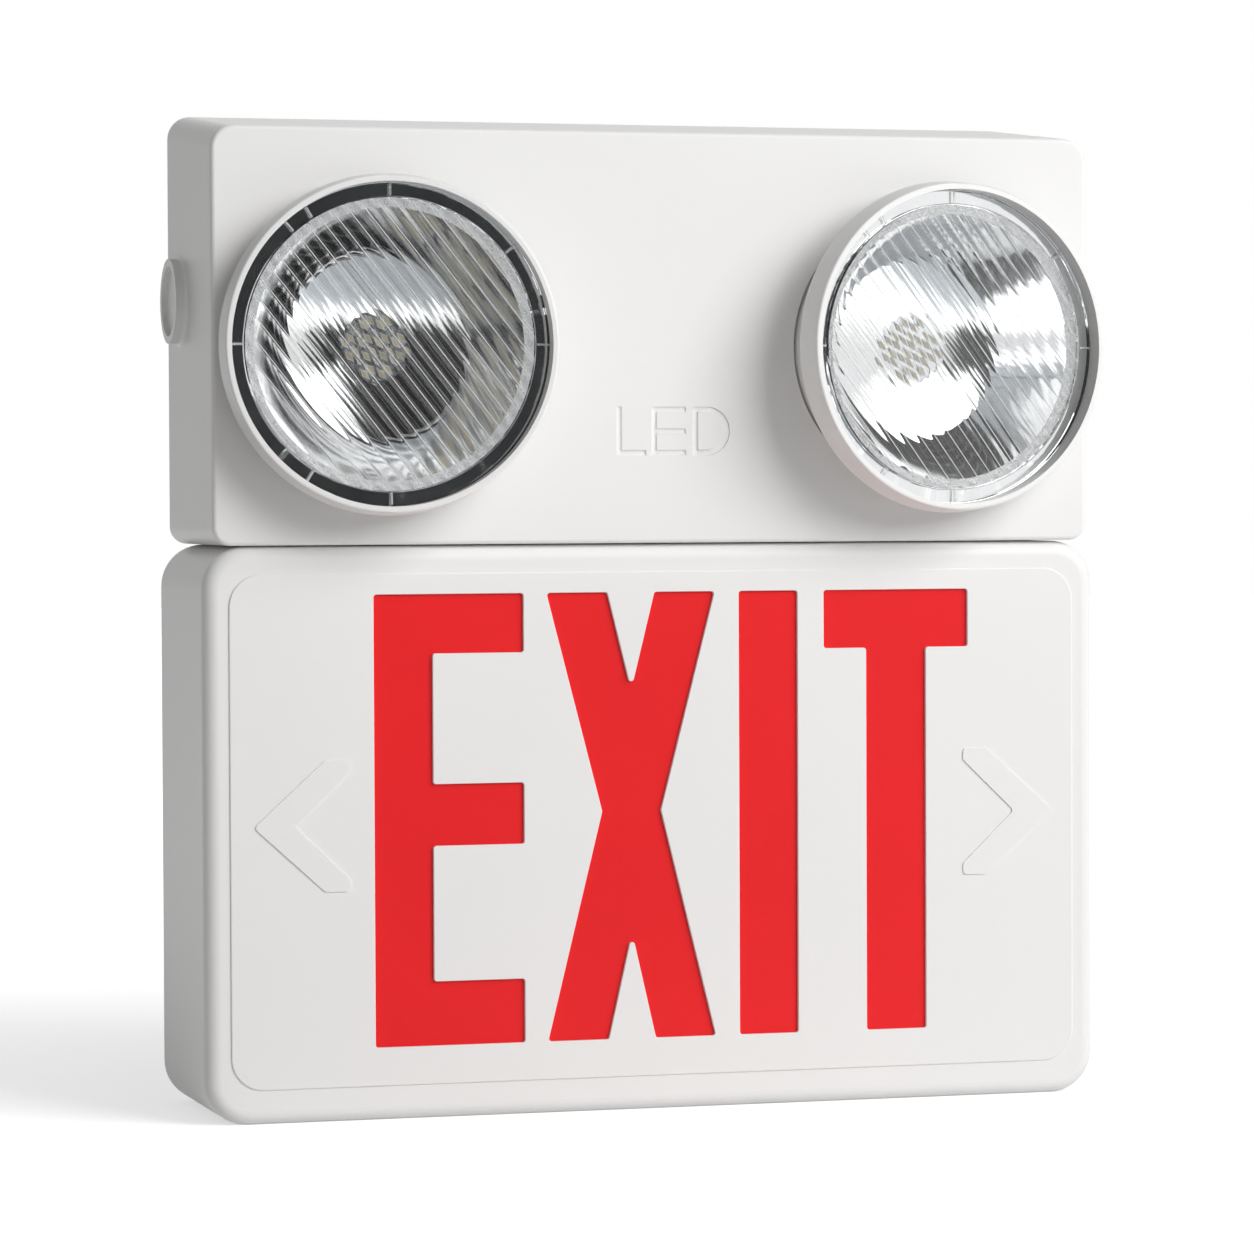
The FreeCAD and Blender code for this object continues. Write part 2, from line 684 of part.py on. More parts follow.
def lamp_block(inset, front, back, top_r, bottom_r):
    """Box with the housing's sloping top, inset by a wall on every side but the front and back."""
    half = LAMP_W / 2 - inset
    base = LAMP_BASE + inset
    drop = inset * math.hypot(1, top_slope())
    tops = [LAMP_BASE + LAMP_FRONT_H + (y - LAMP_FRONT) * top_slope() - drop for y in (front, back)]
    side = [(front, base), (back, base), (back, tops[1]), (front, tops[0])]
    profile = [V(-half, y, z) for y, z in side + side[:1]]
    block = Part.Face(Part.makePolygon(profile)).extrude(V(2 * half, 0, 0))
    block = round_edges(block, bottom_r, lambda e: is_long_edge(e, half, base, base))
    return round_edges(block, top_r, lambda e: is_long_edge(e, half, tops[0], tops[1]))


def is_long_edge(edge, half, z_front, z_back):
    """Is this the straight front-to-back edge at a side wall, between the two given heights?"""
    ends = [v.Point for v in edge.Vertexes]
    heights = sorted(p.z for p in ends)
    at_side = all(abs(abs(p.x) - half) < 1e-4 for p in ends)
    runs_back = abs(ends[0].y - ends[-1].y) > 1
    return at_side and runs_back and abs(heights[0] - z_front) < 1e-4 and abs(heights[1] - z_back) < 1e-4


def lamp_post_places():
    low = LAMP_BASE + WALL + LAMP_POST_INSET
    high = LAMP_BASE + LAMP_FRONT_H - WALL - LAMP_POST_INSET
    x = LAMP_W / 2 - WALL - LAMP_POST_INSET
    return [(side * x, z) for side in (-1, 1) for z in (low, high)]


def retainer_angles():
    return [math.radians(45 + 90 * i) for i in range(4)]


def retainer_screw_places(side):
    """Places in the front view of one head's four retainer screws."""
    return [
        (side * PIVOT_X + RETAINER_SCREW_R * math.cos(a), PIVOT_Z + RETAINER_SCREW_R * math.sin(a))
        for a in retainer_angles()
    ]


def ahead_y(ahead):
    """Y of a plane square to the housing's front, this far ahead of the pivots."""
    return PIVOT_Y - ahead


def collar(side):
    """Moulded collar that the swivel ring turns in, with four screw bosses for its retainer."""
    centre_x = side * PIVOT_X
    front = V(centre_x, LAMP_INNER_FRONT - WALL / 2, PIVOT_Z)
    end = V(centre_x, ahead_y(RETAINER_FRONT), PIVOT_Z)
    solid = fused(
        rod(COLLAR_R + COLLAR_WALL, front, end),
        [rod(RETAINER_BOSS_R, V(x, front.y, z), V(x, end.y, z)) for x, z in retainer_screw_places(side)],
    )
    bore = rod(COLLAR_R, V(centre_x, LAMP_INNER_FRONT, PIVOT_Z), end + AXIS_Y * PAST)
    taps = [
        rod(SMALL_TAP_R, V(x, LAMP_INNER_FRONT, z), V(x, end.y + PAST, z))
        for x, z in retainer_screw_places(side)
    ]
    return solid.cut([bore] + taps)


def knockout():
    """Closed conduit entry on the left side: a filleted boss with a thin web across it."""
    wall_x = -LAMP_W / 2
    centre = V(wall_x, KNOCKOUT_Y, KNOCKOUT_Z)
    boss = rod(KNOCKOUT_R, centre + AXIS_X * WALL / 2, centre - AXIS_X * KNOCKOUT_RISE)
    foot = Part.makeTorus(
        KNOCKOUT_R + KNOCKOUT_BASE_ROUND, KNOCKOUT_BASE_ROUND, centre - AXIS_X * KNOCKOUT_BASE_ROUND, AXIS_X
    )
    skirt = rod(KNOCKOUT_R + KNOCKOUT_BASE_ROUND, centre, centre - AXIS_X * KNOCKOUT_BASE_ROUND).cut(foot)
    return fused(boss, [skirt])


def knockout_recesses():
    centre = V(-LAMP_W / 2, KNOCKOUT_Y, KNOCKOUT_Z)
    face = centre - AXIS_X * KNOCKOUT_RISE
    floor = face + AXIS_X * KNOCKOUT_RECESS
    outside = rod(KNOCKOUT_RECESS_R, face - AXIS_X * PAST, floor)
    inside = rod(KNOCKOUT_RECESS_R, floor + AXIS_X * KNOCKOUT_WEB, centre + AXIS_X * (WALL + PAST))
    return [outside, inside]


def nipple_hole():
    low = V(0, 0, SIGN_H - WALL - PAST)
    return rod(NIPPLE_R + NIPPLE_CLEAR, low, V(0, 0, LAMP_BASE + WALL + PAST))


def head_opening(side):
    x = side * PIVOT_X
    return rod(OPENING_R, V(x, LAMP_FRONT - PAST, PIVOT_Z), V(x, LAMP_INNER_FRONT + PAST, PIVOT_Z))


def lamp_housing():
    shell = lamp_block(0, LAMP_FRONT, BACK, LAMP_TOP_CORNER_R, LAMP_BOTTOM_CORNER_R)
    shell = round_edges(shell, LAMP_FRONT_ROUND, lambda e: lies_in_plane(e, LAMP_FRONT))
    cavity = lamp_block(
        WALL, LAMP_INNER_FRONT, BACK + PAST, LAMP_TOP_CORNER_R - WALL, LAMP_BOTTOM_CORNER_R - WALL
    )
    shell = fused(shell, [knockout()]).cut([cavity] + knockout_recesses())
    posts = [post(x, z, LAMP_INNER_FRONT - WALL / 2) for x, z in lamp_post_places()]
    shell = fused(shell, posts + [collar(-1), collar(1)])
    return shell.cut([head_opening(-1), head_opening(1), nipple_hole()])


def lamp_back_plate():
    inset = WALL + PLATE_CLEAR
    block = lamp_block(
        inset, PLATE_FRONT, BACK, LAMP_TOP_CORNER_R - inset, LAMP_BOTTOM_CORNER_R - inset
    )
    cutters = []
    for x, z in lamp_post_places():
        cutters += screw_through_plate(x, z)
    standoffs = [standoff(x, z) for x, z in standoff_places()]
    return fused(block, standoffs).cut(cutters)


def joining_nipple():
    low = V(0, 0, SIGN_H - WALL - NUT_T - NIPPLE_OVERHANG)
    high = V(0, 0, LAMP_BASE + WALL + NUT_T + NIPPLE_OVERHANG)
    return rod(NIPPLE_R, low, high).cut(rod(NIPPLE_BORE_R, low - AXIS_Z * PAST, high + AXIS_Z * PAST))


def nipple_nuts():
    bore = NIPPLE_R + SCREW_BITE_CLEAR
    under = SIGN_H - WALL
    over = LAMP_BASE + WALL
    return Part.makeCompound([
        nut(NUT_ACROSS_FLATS, bore, V(0, 0, under - NUT_T), V(0, 0, under)),
        nut(NUT_ACROSS_FLATS, bore, V(0, 0, over), V(0, 0, over + NUT_T)),
    ])


# ---- Lamp heads, modelled about the pivot with their axis along -Y -------------------------
def turned(points):
    """Solid of revolution from (ahead, radius) points; a SPHERE point is reached by a round arc."""
    edges = []
    for first, last in zip(points, points[1:] + points[:1]):
        start = V(first[1], -first[0], 0)
        end = V(last[1], -last[0], 0)
        if len(last) > 2:
            middle = V(last[2][1], -last[2][0], 0) if last[2] != SPHERE else ball_point(start, end)
            edges.append(Part.Arc(start, middle, end).toShape())
        else:
            edges.append(Part.makeLine(start, end))
    solid = Part.Face(Part.Wire(edges)).revolve(V(), AXIS_Y, 360)
    return Part.Solid(solid.Shells[0]) if solid.Volume > 0 else Part.Solid(solid.Shells[0]).reversed()


def ball_point(start, end):
    return (start + end).normalize() * start.Length


def on_ball(radius, ahead):
    return math.sqrt(radius ** 2 - ahead ** 2)


def round_circle(solid, radius, ahead, at_r):
    """Round the full circle at the given station and radius."""
    def chosen(edge):
        curve = edge.Curve
        same = isinstance(curve, Part.Circle) and abs(curve.Radius - at_r) < 1e-4
        return same and abs(curve.Center.y + ahead) < 1e-4
    return round_edges(solid, radius, chosen)


def ear(up):
    """Boss inside the ball for one tilt pin; up is 1 for the top pin and -1 for the bottom one."""
    return rod(EAR_R, V(0, 0, up * EAR_INNER), V(0, 0, up * (BALL_R - BALL_WALL / 2)))


def head_shell():
    shell = turned([
        (RIM_AHEAD, SEAT_R), (RIM_AHEAD, RIM_R), (BAND_AHEAD, BAND_R),
        (NECK_AHEAD, on_ball(BALL_R, NECK_AHEAD)),
        (SKIRT_BACK, on_ball(BALL_R, SKIRT_BACK), SPHERE),
        (SKIRT_BACK, on_ball(INNER_BALL_R, SKIRT_BACK)),
        (NECK_WALL_AHEAD, on_ball(INNER_BALL_R, NECK_WALL_AHEAD), SPHERE),
        (THROAT_AHEAD, THROAT_R), (SEAT_FLOOR_AHEAD, SEAT_INNER_R),
        (SEAT_AHEAD, SEAT_INNER_R), (SEAT_AHEAD, SEAT_R),
    ])
    shell = round_circle(shell, BAND_ROUND, BAND_AHEAD, BAND_R)
    shell = round_circle(shell, RIM_ROUND, RIM_AHEAD, RIM_R)
    shell = fused(shell, [ear(1), ear(-1)])
    pin_hole = PIN_R + PIN_RUN_CLEAR
    return shell.cut([
        rod(pin_hole, V(0, 0, up * (EAR_INNER - PAST)), V(0, 0, up * (BALL_R + PAST))) for up in (-1, 1)
    ])


def flute_block():
    """Flat slab whose back is scooped into straight flutes, before it is cut to a disc."""
    pitch = 2 * FLUTED_R / FLUTES
    half = FLUTED_R + pitch / 2
    back = -LENS_BACK
    front = -(LENS_BACK + LENS_T + LENS_DOME_RISE + PAST)
    edges = []
    for i in range(FLUTES + 1):
        x = -half + i * pitch
        middle = V(x + pitch / 2, back - FLUTE_DEPTH, 0)
        edges.append(Part.Arc(V(x, back, 0), middle, V(x + pitch, back, 0)).toShape())
    corners = [V(half, back, 0), V(half, front, 0), V(-half, front, 0), V(-half, back, 0)]
    edges += [Part.makeLine(a, b) for a, b in zip(corners, corners[1:])]
    block = Part.Face(Part.Wire(edges)).extrude(V(0, 0, 2 * half))
    block.translate(V(0, 0, -half))
    block.rotate(V(), AXIS_Y, 90 + FLUTE_ANGLE)
    return block


def lens():
    """Clear cover: flat flange, step ring, and a low domed disc with flutes in its back."""
    face = LENS_BACK + LENS_T
    step_face = face + STEP_RING_PROUD
    inner = FLUTED_R - LENS_OVERLAP
    flange = turned([
        (LENS_BACK, inner), (LENS_BACK, LENS_R), (face, LENS_R), (face, LENS_DISC_R),
        (step_face, LENS_DISC_R), (step_face, inner),
    ])
    crown = face + LENS_DISC_RISE + LENS_DOME_RISE
    dome_r = (FLUTED_R ** 2 + LENS_DOME_RISE ** 2) / (2 * LENS_DOME_RISE)
    dome = Part.makeSphere(dome_r, V(0, dome_r - crown, 0))
    disc = rod(FLUTED_R, V(0, PAST - LENS_BACK, 0), V(0, -crown - PAST, 0))
    return fused(flange, [flute_block().common(disc).common(dome)])


def bowl_r(ahead):
    """Inner radius of the reflector's parabolic bowl."""
    share = (ahead - MIRROR_BASE_AHEAD) / (MIRROR_RIM_AHEAD - MIRROR_BASE_AHEAD)
    return math.sqrt(MIRROR_BASE_R ** 2 + (MIRROR_MOUTH_R ** 2 - MIRROR_BASE_R ** 2) * share)


def engine_places():
    """Front-view places of the three screws that hold the LED board and heat sink."""
    angles = [math.radians(30 + 120 * i) for i in range(3)]
    return [(ENGINE_SCREW_R * math.cos(a), ENGINE_SCREW_R * math.sin(a)) for a in angles]


def reflector():
    mid = (MIRROR_BASE_AHEAD + MIRROR_RIM_AHEAD) / 2
    wall = MIRROR_WALL
    flange_back = FLANGE_FRONT - FLANGE_T
    bowl = turned([
        (FLANGE_FRONT, LENS_R), (flange_back, LENS_R), (flange_back, SEAT_INNER_R),
        (MIRROR_RIM_AHEAD - wall, MIRROR_MOUTH_R + wall),
        (MIRROR_BASE_AHEAD, MIRROR_BASE_R + wall, (mid, bowl_r(mid) + wall)),
        (MIRROR_BASE_AHEAD, MIRROR_BASE_R),
        (MIRROR_RIM_AHEAD, MIRROR_MOUTH_R, (mid, bowl_r(mid))),
        (FLANGE_FRONT, LENS_DISC_R),
    ])
    top = MIRROR_BASE_AHEAD + ENGINE_BOSS_H
    bosses = [
        rod(ENGINE_BOSS_R, V(x, -MIRROR_BASE_AHEAD, z), V(x, -top, z)) for x, z in engine_places()
    ]
    holes = [
        rod(SMALL_TAP_R, V(x, PAST - MIRROR_BASE_AHEAD, z), V(x, PAST - top, z)) for x, z in engine_places()
    ]
    return fused(bowl, bosses).cut(holes)


def engine_holes():
    return [
        rod(SMALL_HOLE_R, V(x, -BOARD_AHEAD - PAST, z), V(x, -SINK_AHEAD + SINK_BASE_T + PAST, z))
        for x, z in engine_places()
    ]


def led_board():
    board = rod(ENGINE_R, V(0, -BOARD_AHEAD, 0), V(0, BOARD_T - BOARD_AHEAD, 0))
    return board.cut(engine_holes())


def head_chip_places():
    """Square grid without its corners."""
    last = HEAD_CHIP_ROWS - 1
    return [
        ((column - last / 2) * HEAD_CHIP_PITCH, (row - last / 2) * HEAD_CHIP_PITCH)
        for column in range(HEAD_CHIP_ROWS) for row in range(HEAD_CHIP_ROWS)
        if not (column in (0, last) and row in (0, last))
    ]


def head_leds():
    places = head_chip_places()
    half = HEAD_CHIP / 2
    back = -BOARD_AHEAD
    return Part.makeCompound([
        box(x - half, x + half, back - HEAD_CHIP_T, back, z - half, z + half) for x, z in places
    ])


def heat_sink():
    """Round base with parallel fins behind it, kept clear of the screw heads."""
    front = -SINK_AHEAD
    base = rod(ENGINE_R, V(0, front, 0), V(0, front + SINK_BASE_T, 0))
    first = -SINK_FIN_PITCH * (SINK_FINS - 1) / 2
    fins = []
    for i in range(SINK_FINS):
        x = first + SINK_FIN_PITCH * i
        reach = math.sqrt(SINK_FIN_REACH ** 2 - x ** 2)
        fins.append(box(
            x - SINK_FIN_T / 2, x + SINK_FIN_T / 2, front + SINK_BASE_T / 2,
            front + SINK_BASE_T + SINK_FIN_H, -reach, reach,
        ))
    return fused(base, fins).cut(engine_holes())


def engine_screws():
    head_y = -SINK_AHEAD + SINK_BASE_T + SMALL_HEAD_H
    length = SINK_BASE_T + BOARD_T + ENGINE_BOSS_H - ENGINE_SCREW_TIP_GAP
    return Part.makeCompound([
        screw(V(x, head_y, z), -AXIS_Y, length, SMALL_SCREW_R, SMALL_HEAD_R, SMALL_HEAD_H)
        for x, z in engine_places()
    ])


# ---- Swivel of a head, modelled about the pivot and square to the housing -------------------
def swivel_ring():
    ring = turned([
        (RING_FRONT, RING_INNER_R), (RING_FRONT, RING_OUTER_R), (RING_BACK, RING_OUTER_R),
        (RING_BACK, RING_INNER_R),
    ])
    reach = RING_OUTER_R + PAST
    return ring.cut(rod(PIN_R + PIN_PRESS_CLEAR, V(0, 0, -reach), V(0, 0, reach)))


def tilt_pins():
    outer = RING_OUTER_R - PIN_RECESS
    return Part.makeCompound([rod(PIN_R, V(0, 0, up * PIN_INNER), V(0, 0, up * outer)) for up in (-1, 1)])


def retainer():
    """Flat ring with four lugs, screwed over the collar to keep the swivel ring in."""
    front = -RETAINER_FRONT
    plate = rod(COLLAR_R + COLLAR_WALL, V(0, front, 0), V(0, front + RETAINER_T, 0))
    lugs = []
    holes = [rod(RETAINER_INNER_R, V(0, front - PAST, 0), V(0, front + RETAINER_T + PAST, 0))]
    for a in retainer_angles():
        x = RETAINER_SCREW_R * math.cos(a)
        z = RETAINER_SCREW_R * math.sin(a)
        lugs.append(rod(RETAINER_LUG_R, V(x, front, z), V(x, front + RETAINER_T, z)))
        holes.append(rod(SMALL_HOLE_R, V(x, front - PAST, z), V(x, front + RETAINER_T + PAST, z)))
    return fused(plate, lugs).cut(holes)


def retainer_screws():
    head_y = -RETAINER_FRONT + RETAINER_T + SMALL_HEAD_H
    length = RETAINER_T + RING_FRONT - RING_BACK - RETAINER_SCREW_TIP_GAP
    screws = []
    for a in retainer_angles():
        at = V(RETAINER_SCREW_R * math.cos(a), head_y, RETAINER_SCREW_R * math.sin(a))
        screws.append(screw(at, -AXIS_Y, length, SMALL_SCREW_R, SMALL_HEAD_R, SMALL_HEAD_H))
    return Part.makeCompound(screws)


def at_pivot(shape, side, turn):
    """Turn a shape about the upright pin axis, then carry it to its pivot."""
    placed = shape.copy()
    placed.rotate(V(), AXIS_Z, turn)
    placed.translate(V(side * PIVOT_X, PIVOT_Y, PIVOT_Z))
    return placed


# ---- Battery and charger --------------------------------------------------------------------
def cell_xs():
    first = BATTERY_X - CELL_R * (CELLS - 1)
    return [first + 2 * CELL_R * i for i in range(CELLS)]


def battery_pack():
    """Upright cells side by side in one shrink sleeve."""
    xs = cell_xs()
    top = BATTERY_Z + CELL_L
    cells = [rod(CELL_R, V(x, BATTERY_Y, BATTERY_Z), V(x, BATTERY_Y, top)) for x in (xs[0], xs[-1])]
    web = box(xs[0], xs[-1], BATTERY_Y - CELL_R, BATTERY_Y + CELL_R, BATTERY_Z, top)
    return fused(web, cells)


def battery_clip():
    """Folded cradle on the sign's back plate: back, shelf under the cells and a front lip."""
    xs = cell_xs()
    left = xs[0] - CELL_R
    right = xs[-1] + CELL_R
    back = BATTERY_Y + CELL_R
    front = BATTERY_Y - CELL_R
    web = box(left, right, back, back + CLIP_T, BATTERY_Z - CLIP_T, BATTERY_Z + CLIP_H)
    shelf = box(left, right, front - CLIP_T, back, BATTERY_Z - CLIP_T, BATTERY_Z)
    lip = box(left, right, front - CLIP_T, front, BATTERY_Z, BATTERY_Z + CLIP_LIP_H)
    return fused(web, [shelf, lip])


def standoff_places():
    x = CHARGER_W / 2 - STANDOFF_INSET
    low = CHARGER_Z + STANDOFF_INSET
    high = CHARGER_Z + CHARGER_H - STANDOFF_INSET
    return [(side * x, z) for side in (-1, 1) for z in (low, high)]


def standoff(x, z):
    solid = rod(STANDOFF_R, V(x, CHARGER_BACK, z), V(x, PLATE_FRONT + PLATE_T / 2, z))
    return solid.cut(rod(SMALL_TAP_R, V(x, CHARGER_BACK - PAST, z), V(x, PLATE_FRONT, z)))


def charger_board():
    half = CHARGER_W / 2
    board = box(-half, half, CHARGER_FRONT, CHARGER_BACK, CHARGER_Z, CHARGER_Z + CHARGER_H)
    return board.cut([
        rod(SMALL_HOLE_R, V(x, CHARGER_FRONT - PAST, z), V(x, CHARGER_BACK + PAST, z))
        for x, z in standoff_places()
    ])


def charger_screws():
    head_y = CHARGER_FRONT - SMALL_HEAD_H
    length = BOARD_T + STANDOFF_H - SCREW_TIP_GAP
    return Part.makeCompound([
        screw(V(x, head_y, z), AXIS_Y, length, SMALL_SCREW_R, SMALL_HEAD_R, SMALL_HEAD_H)
        for x, z in standoff_places()
    ])


def transformer():
    """Laminated core with its coil showing above and below."""
    x = TRANSFORMER_EDGE + TRANSFORMER_W / 2 - CHARGER_W / 2
    z = CHARGER_Z + CHARGER_H / 2
    core = box(
        x - TRANSFORMER_W / 2, x + TRANSFORMER_W / 2, CHARGER_FRONT - TRANSFORMER_D, CHARGER_FRONT,
        z - TRANSFORMER_H / 2, z + TRANSFORMER_H / 2,
    )
    coil_front = CHARGER_FRONT - (TRANSFORMER_D + COIL_D) / 2
    coil = box(
        x - COIL_W / 2, x + COIL_W / 2, coil_front, coil_front + COIL_D,
        z - COIL_H / 2, z + COIL_H / 2,
    )
    return fused(core, [coil])


def terminal_block():
    z = CHARGER_Z + TERMINAL_RISE
    half = TERMINAL_W / 2
    block = box(-half, half, CHARGER_FRONT - TERMINAL_D, CHARGER_FRONT, z, z + TERMINAL_H)
    y = CHARGER_FRONT - TERMINAL_D / 2
    holes = [
        rod(TERMINAL_HOLE_R, V(x, y, z - PAST), V(x, y, z + TERMINAL_HOLE_DEPTH))
        for x in (-TERMINAL_PITCH, 0, TERMINAL_PITCH)
    ]
    return block.cut(holes)


def board_components():
    """Relay and two electrolytic capacitors."""
    x = CHARGER_W / 2 - RELAY_EDGE - RELAY_W
    z = CHARGER_Z + CHARGER_H / 2
    relay = box(x, x + RELAY_W, CHARGER_FRONT - RELAY_D, CHARGER_FRONT, z, z + RELAY_H)
    cans_z = z - CAPACITOR_DROP
    cans = [
        rod(CAPACITOR_R, V(cx, CHARGER_FRONT, cans_z), V(cx, CHARGER_FRONT - CAPACITOR_L, cans_z))
        for cx in (x, x + CAPACITOR_PITCH)
    ]
    return Part.makeCompound([relay] + cans)


# ---- Test button and pilot lamp on the sign's right side --------------------------------------
def on_side(depth, z):
    """Point on a control's axis, this far outside the sign's right wall."""
    return V(SIGN_W / 2 + depth, CONTROL_Y, z)


def control_holes():
    return [
        rod(radius + PANEL_HOLE_CLEAR, on_side(-WALL - PAST, z), on_side(PAST, z))
        for radius, z in ((SWITCH_R, BUTTON_Z), (PILOT_R, PILOT_Z))
    ]


def test_switch():
    body = fused(
        rod(SWITCH_R, on_side(-SWITCH_DEPTH, BUTTON_Z), on_side(0, BUTTON_Z)),
        [rod(SWITCH_BEZEL_R, on_side(0, BUTTON_Z), on_side(SWITCH_BEZEL_T, BUTTON_Z))],
    )
    cavity_top = SWITCH_BEZEL_T - SWITCH_CAP_T
    mouth = on_side(SWITCH_BEZEL_T + PAST, BUTTON_Z)
    bore = rod(BUTTON_R + TURN_CLEAR, on_side(cavity_top - PAST, BUTTON_Z), mouth)
    cavity = rod(
        SWITCH_CAVITY_R + TURN_CLEAR, on_side(cavity_top - SWITCH_CAVITY_L, BUTTON_Z),
        on_side(cavity_top, BUTTON_Z),
    )
    return body.cut([bore, cavity])


def test_switch_nut():
    inside = on_side(-WALL, BUTTON_Z)
    return nut(SWITCH_NUT_ACROSS_FLATS, SWITCH_R + SCREW_BITE_CLEAR, inside - AXIS_X * SWITCH_NUT_T, inside)


def test_button():
    top = SWITCH_BEZEL_T + BUTTON_PROUD
    shoulder = SWITCH_BEZEL_T - SWITCH_CAP_T - BUTTON_REST_GAP
    stem = rod(BUTTON_R, on_side(shoulder, BUTTON_Z), on_side(top, BUTTON_Z))
    flange_end = on_side(shoulder - BUTTON_FLANGE_T, BUTTON_Z)
    flange = rod(SWITCH_CAVITY_R, flange_end, on_side(shoulder, BUTTON_Z))
    return fused(stem, [flange])


def pilot_lamp():
    body = rod(PILOT_R, on_side(-PILOT_DEPTH, PILOT_Z), on_side(0, PILOT_Z))
    bezel = rod(PILOT_BEZEL_R, on_side(0, PILOT_Z), on_side(PILOT_BEZEL_T, PILOT_Z))
    tip = on_side(PILOT_BEZEL_T + PILOT_LENS_H, PILOT_Z)
    glass = rod(PILOT_LENS_R, on_side(0, PILOT_Z), tip)
    glass = round_edges(glass, PILOT_LENS_ROUND, lambda e: abs(e.BoundBox.XMin - tip.x) < 1e-4)
    return fused(body, [bezel, glass])


# ---- Build ------------------------------------------------------------------------------------
def save_head(name, side, turn):
    for part_name, make in (
        ("head_shell", head_shell), ("lens", lens), ("reflector", reflector),
        ("led_board", led_board), ("leds", head_leds), ("heat_sink", heat_sink),
        ("engine_screws", engine_screws),
    ):
        save(name + "_" + part_name, at_pivot(make(), side, turn))
    for part_name, make in (
        ("swivel_ring", swivel_ring), ("tilt_pins", tilt_pins), ("retainer", retainer),
        ("retainer_screws", retainer_screws),
    ):
        save(name + "_" + part_name, at_pivot(make(), side, 0))


def main():
    os.makedirs("parts", exist_ok=True)
    save("sign_housing", sign_housing())
    save("red_diffuser", red_diffuser())
    save("light_tray", light_tray())
    save("tray_screws", tray_screws())
    save("lower_led_bar", led_bar(-1))
    save("upper_led_bar", led_bar(1))
    save("sign_leds", sign_leds())
    save("sign_back_plate", sign_back_plate())
    save("sign_back_screws", plate_screws(sign_post_places()))
    save("lamp_housing", lamp_housing())
    save("lamp_back_plate", lamp_back_plate())
    save("lamp_back_screws", plate_screws(lamp_post_places()))
    save("joining_nipple", joining_nipple())
    save("nipple_nuts", nipple_nuts())
    save("battery_pack", battery_pack())
    save("battery_clip", battery_clip())
    save("charger_board", charger_board())
    save("charger_screws", charger_screws())
    save("transformer", transformer())
    save("terminal_block", terminal_block())
    save("board_components", board_components())
    save("test_switch", test_switch())
    save("test_switch_nut", test_switch_nut())
    save("test_button", test_button())
    save("pilot_lamp", pilot_lamp())
    save_head("left", -1, LEFT_TURN_ANGLE)
    save_head("right", 1, RIGHT_TURN_ANGLE)


main()
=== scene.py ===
"""Emergency exit light with two aimable lamp heads: finishes, moulded detail and studio.

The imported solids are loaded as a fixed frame. Operators give every node its finish, model the
pieces whose look needs more than the solid holds, and set up the floor, lights and camera.
"""
import json
import math

import bpy
from mathutils import Matrix, Vector


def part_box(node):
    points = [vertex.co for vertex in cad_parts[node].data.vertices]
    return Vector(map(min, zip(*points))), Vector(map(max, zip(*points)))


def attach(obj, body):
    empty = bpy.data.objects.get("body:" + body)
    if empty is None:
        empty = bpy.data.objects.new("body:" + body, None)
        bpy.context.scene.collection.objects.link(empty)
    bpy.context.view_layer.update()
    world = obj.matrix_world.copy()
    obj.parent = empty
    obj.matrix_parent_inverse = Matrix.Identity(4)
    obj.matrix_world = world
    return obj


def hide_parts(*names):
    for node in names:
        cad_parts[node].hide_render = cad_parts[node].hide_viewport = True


bl_info = {
    "name": "Emergency Exit Light",
    "version": (1, 0, 0),
    "blender": (4, 5, 0),
    "location": "View3D > Sidebar > Exit Light",
    "description": "Finishes and details an exit sign with two lamp heads",
    "category": "Object",
}

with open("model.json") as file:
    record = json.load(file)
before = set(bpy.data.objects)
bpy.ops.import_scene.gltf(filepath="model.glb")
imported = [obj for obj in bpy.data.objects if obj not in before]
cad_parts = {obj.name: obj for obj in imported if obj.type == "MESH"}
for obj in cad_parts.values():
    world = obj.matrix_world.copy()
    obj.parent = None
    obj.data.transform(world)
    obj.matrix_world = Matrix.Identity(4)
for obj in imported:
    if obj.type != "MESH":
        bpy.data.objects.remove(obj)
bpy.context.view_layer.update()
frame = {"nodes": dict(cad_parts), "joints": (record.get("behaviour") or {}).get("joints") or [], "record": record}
NODES = frame["nodes"]
MM = 0.001
SIDES = ("left", "right")


# ---- Places read from the frame ---------------------------------------------------------------
def joint_named(name):
    return next(joint for joint in frame["joints"] if joint["name"] == name)


def pivot_of(side):
    return Vector(joint_named(side + "_head_tilt")["pos_m"])


def facing(side):
    """Carries a head's own frame, with its front along -Y, to its place, to the nearest half degree."""
    low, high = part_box(side + "_lens")
    ahead = (low + high) / 2 - pivot_of(side)
    turn = round(math.degrees(math.atan2(ahead.x, -ahead.y)) * 2) / 2
    return Matrix.Translation(pivot_of(side)) @ Matrix.Rotation(math.radians(turn), 4, "Z")


def stations_of(node, side):
    """How far ahead of the pivot a node's back and front are, and its radius."""
    to_head = facing(side).inverted()
    corners = [to_head @ vertex.co for vertex in NODES[node].data.vertices]
    ahead = [-corner.y for corner in corners]
    return min(ahead), max(ahead), max(corner.z for corner in corners)


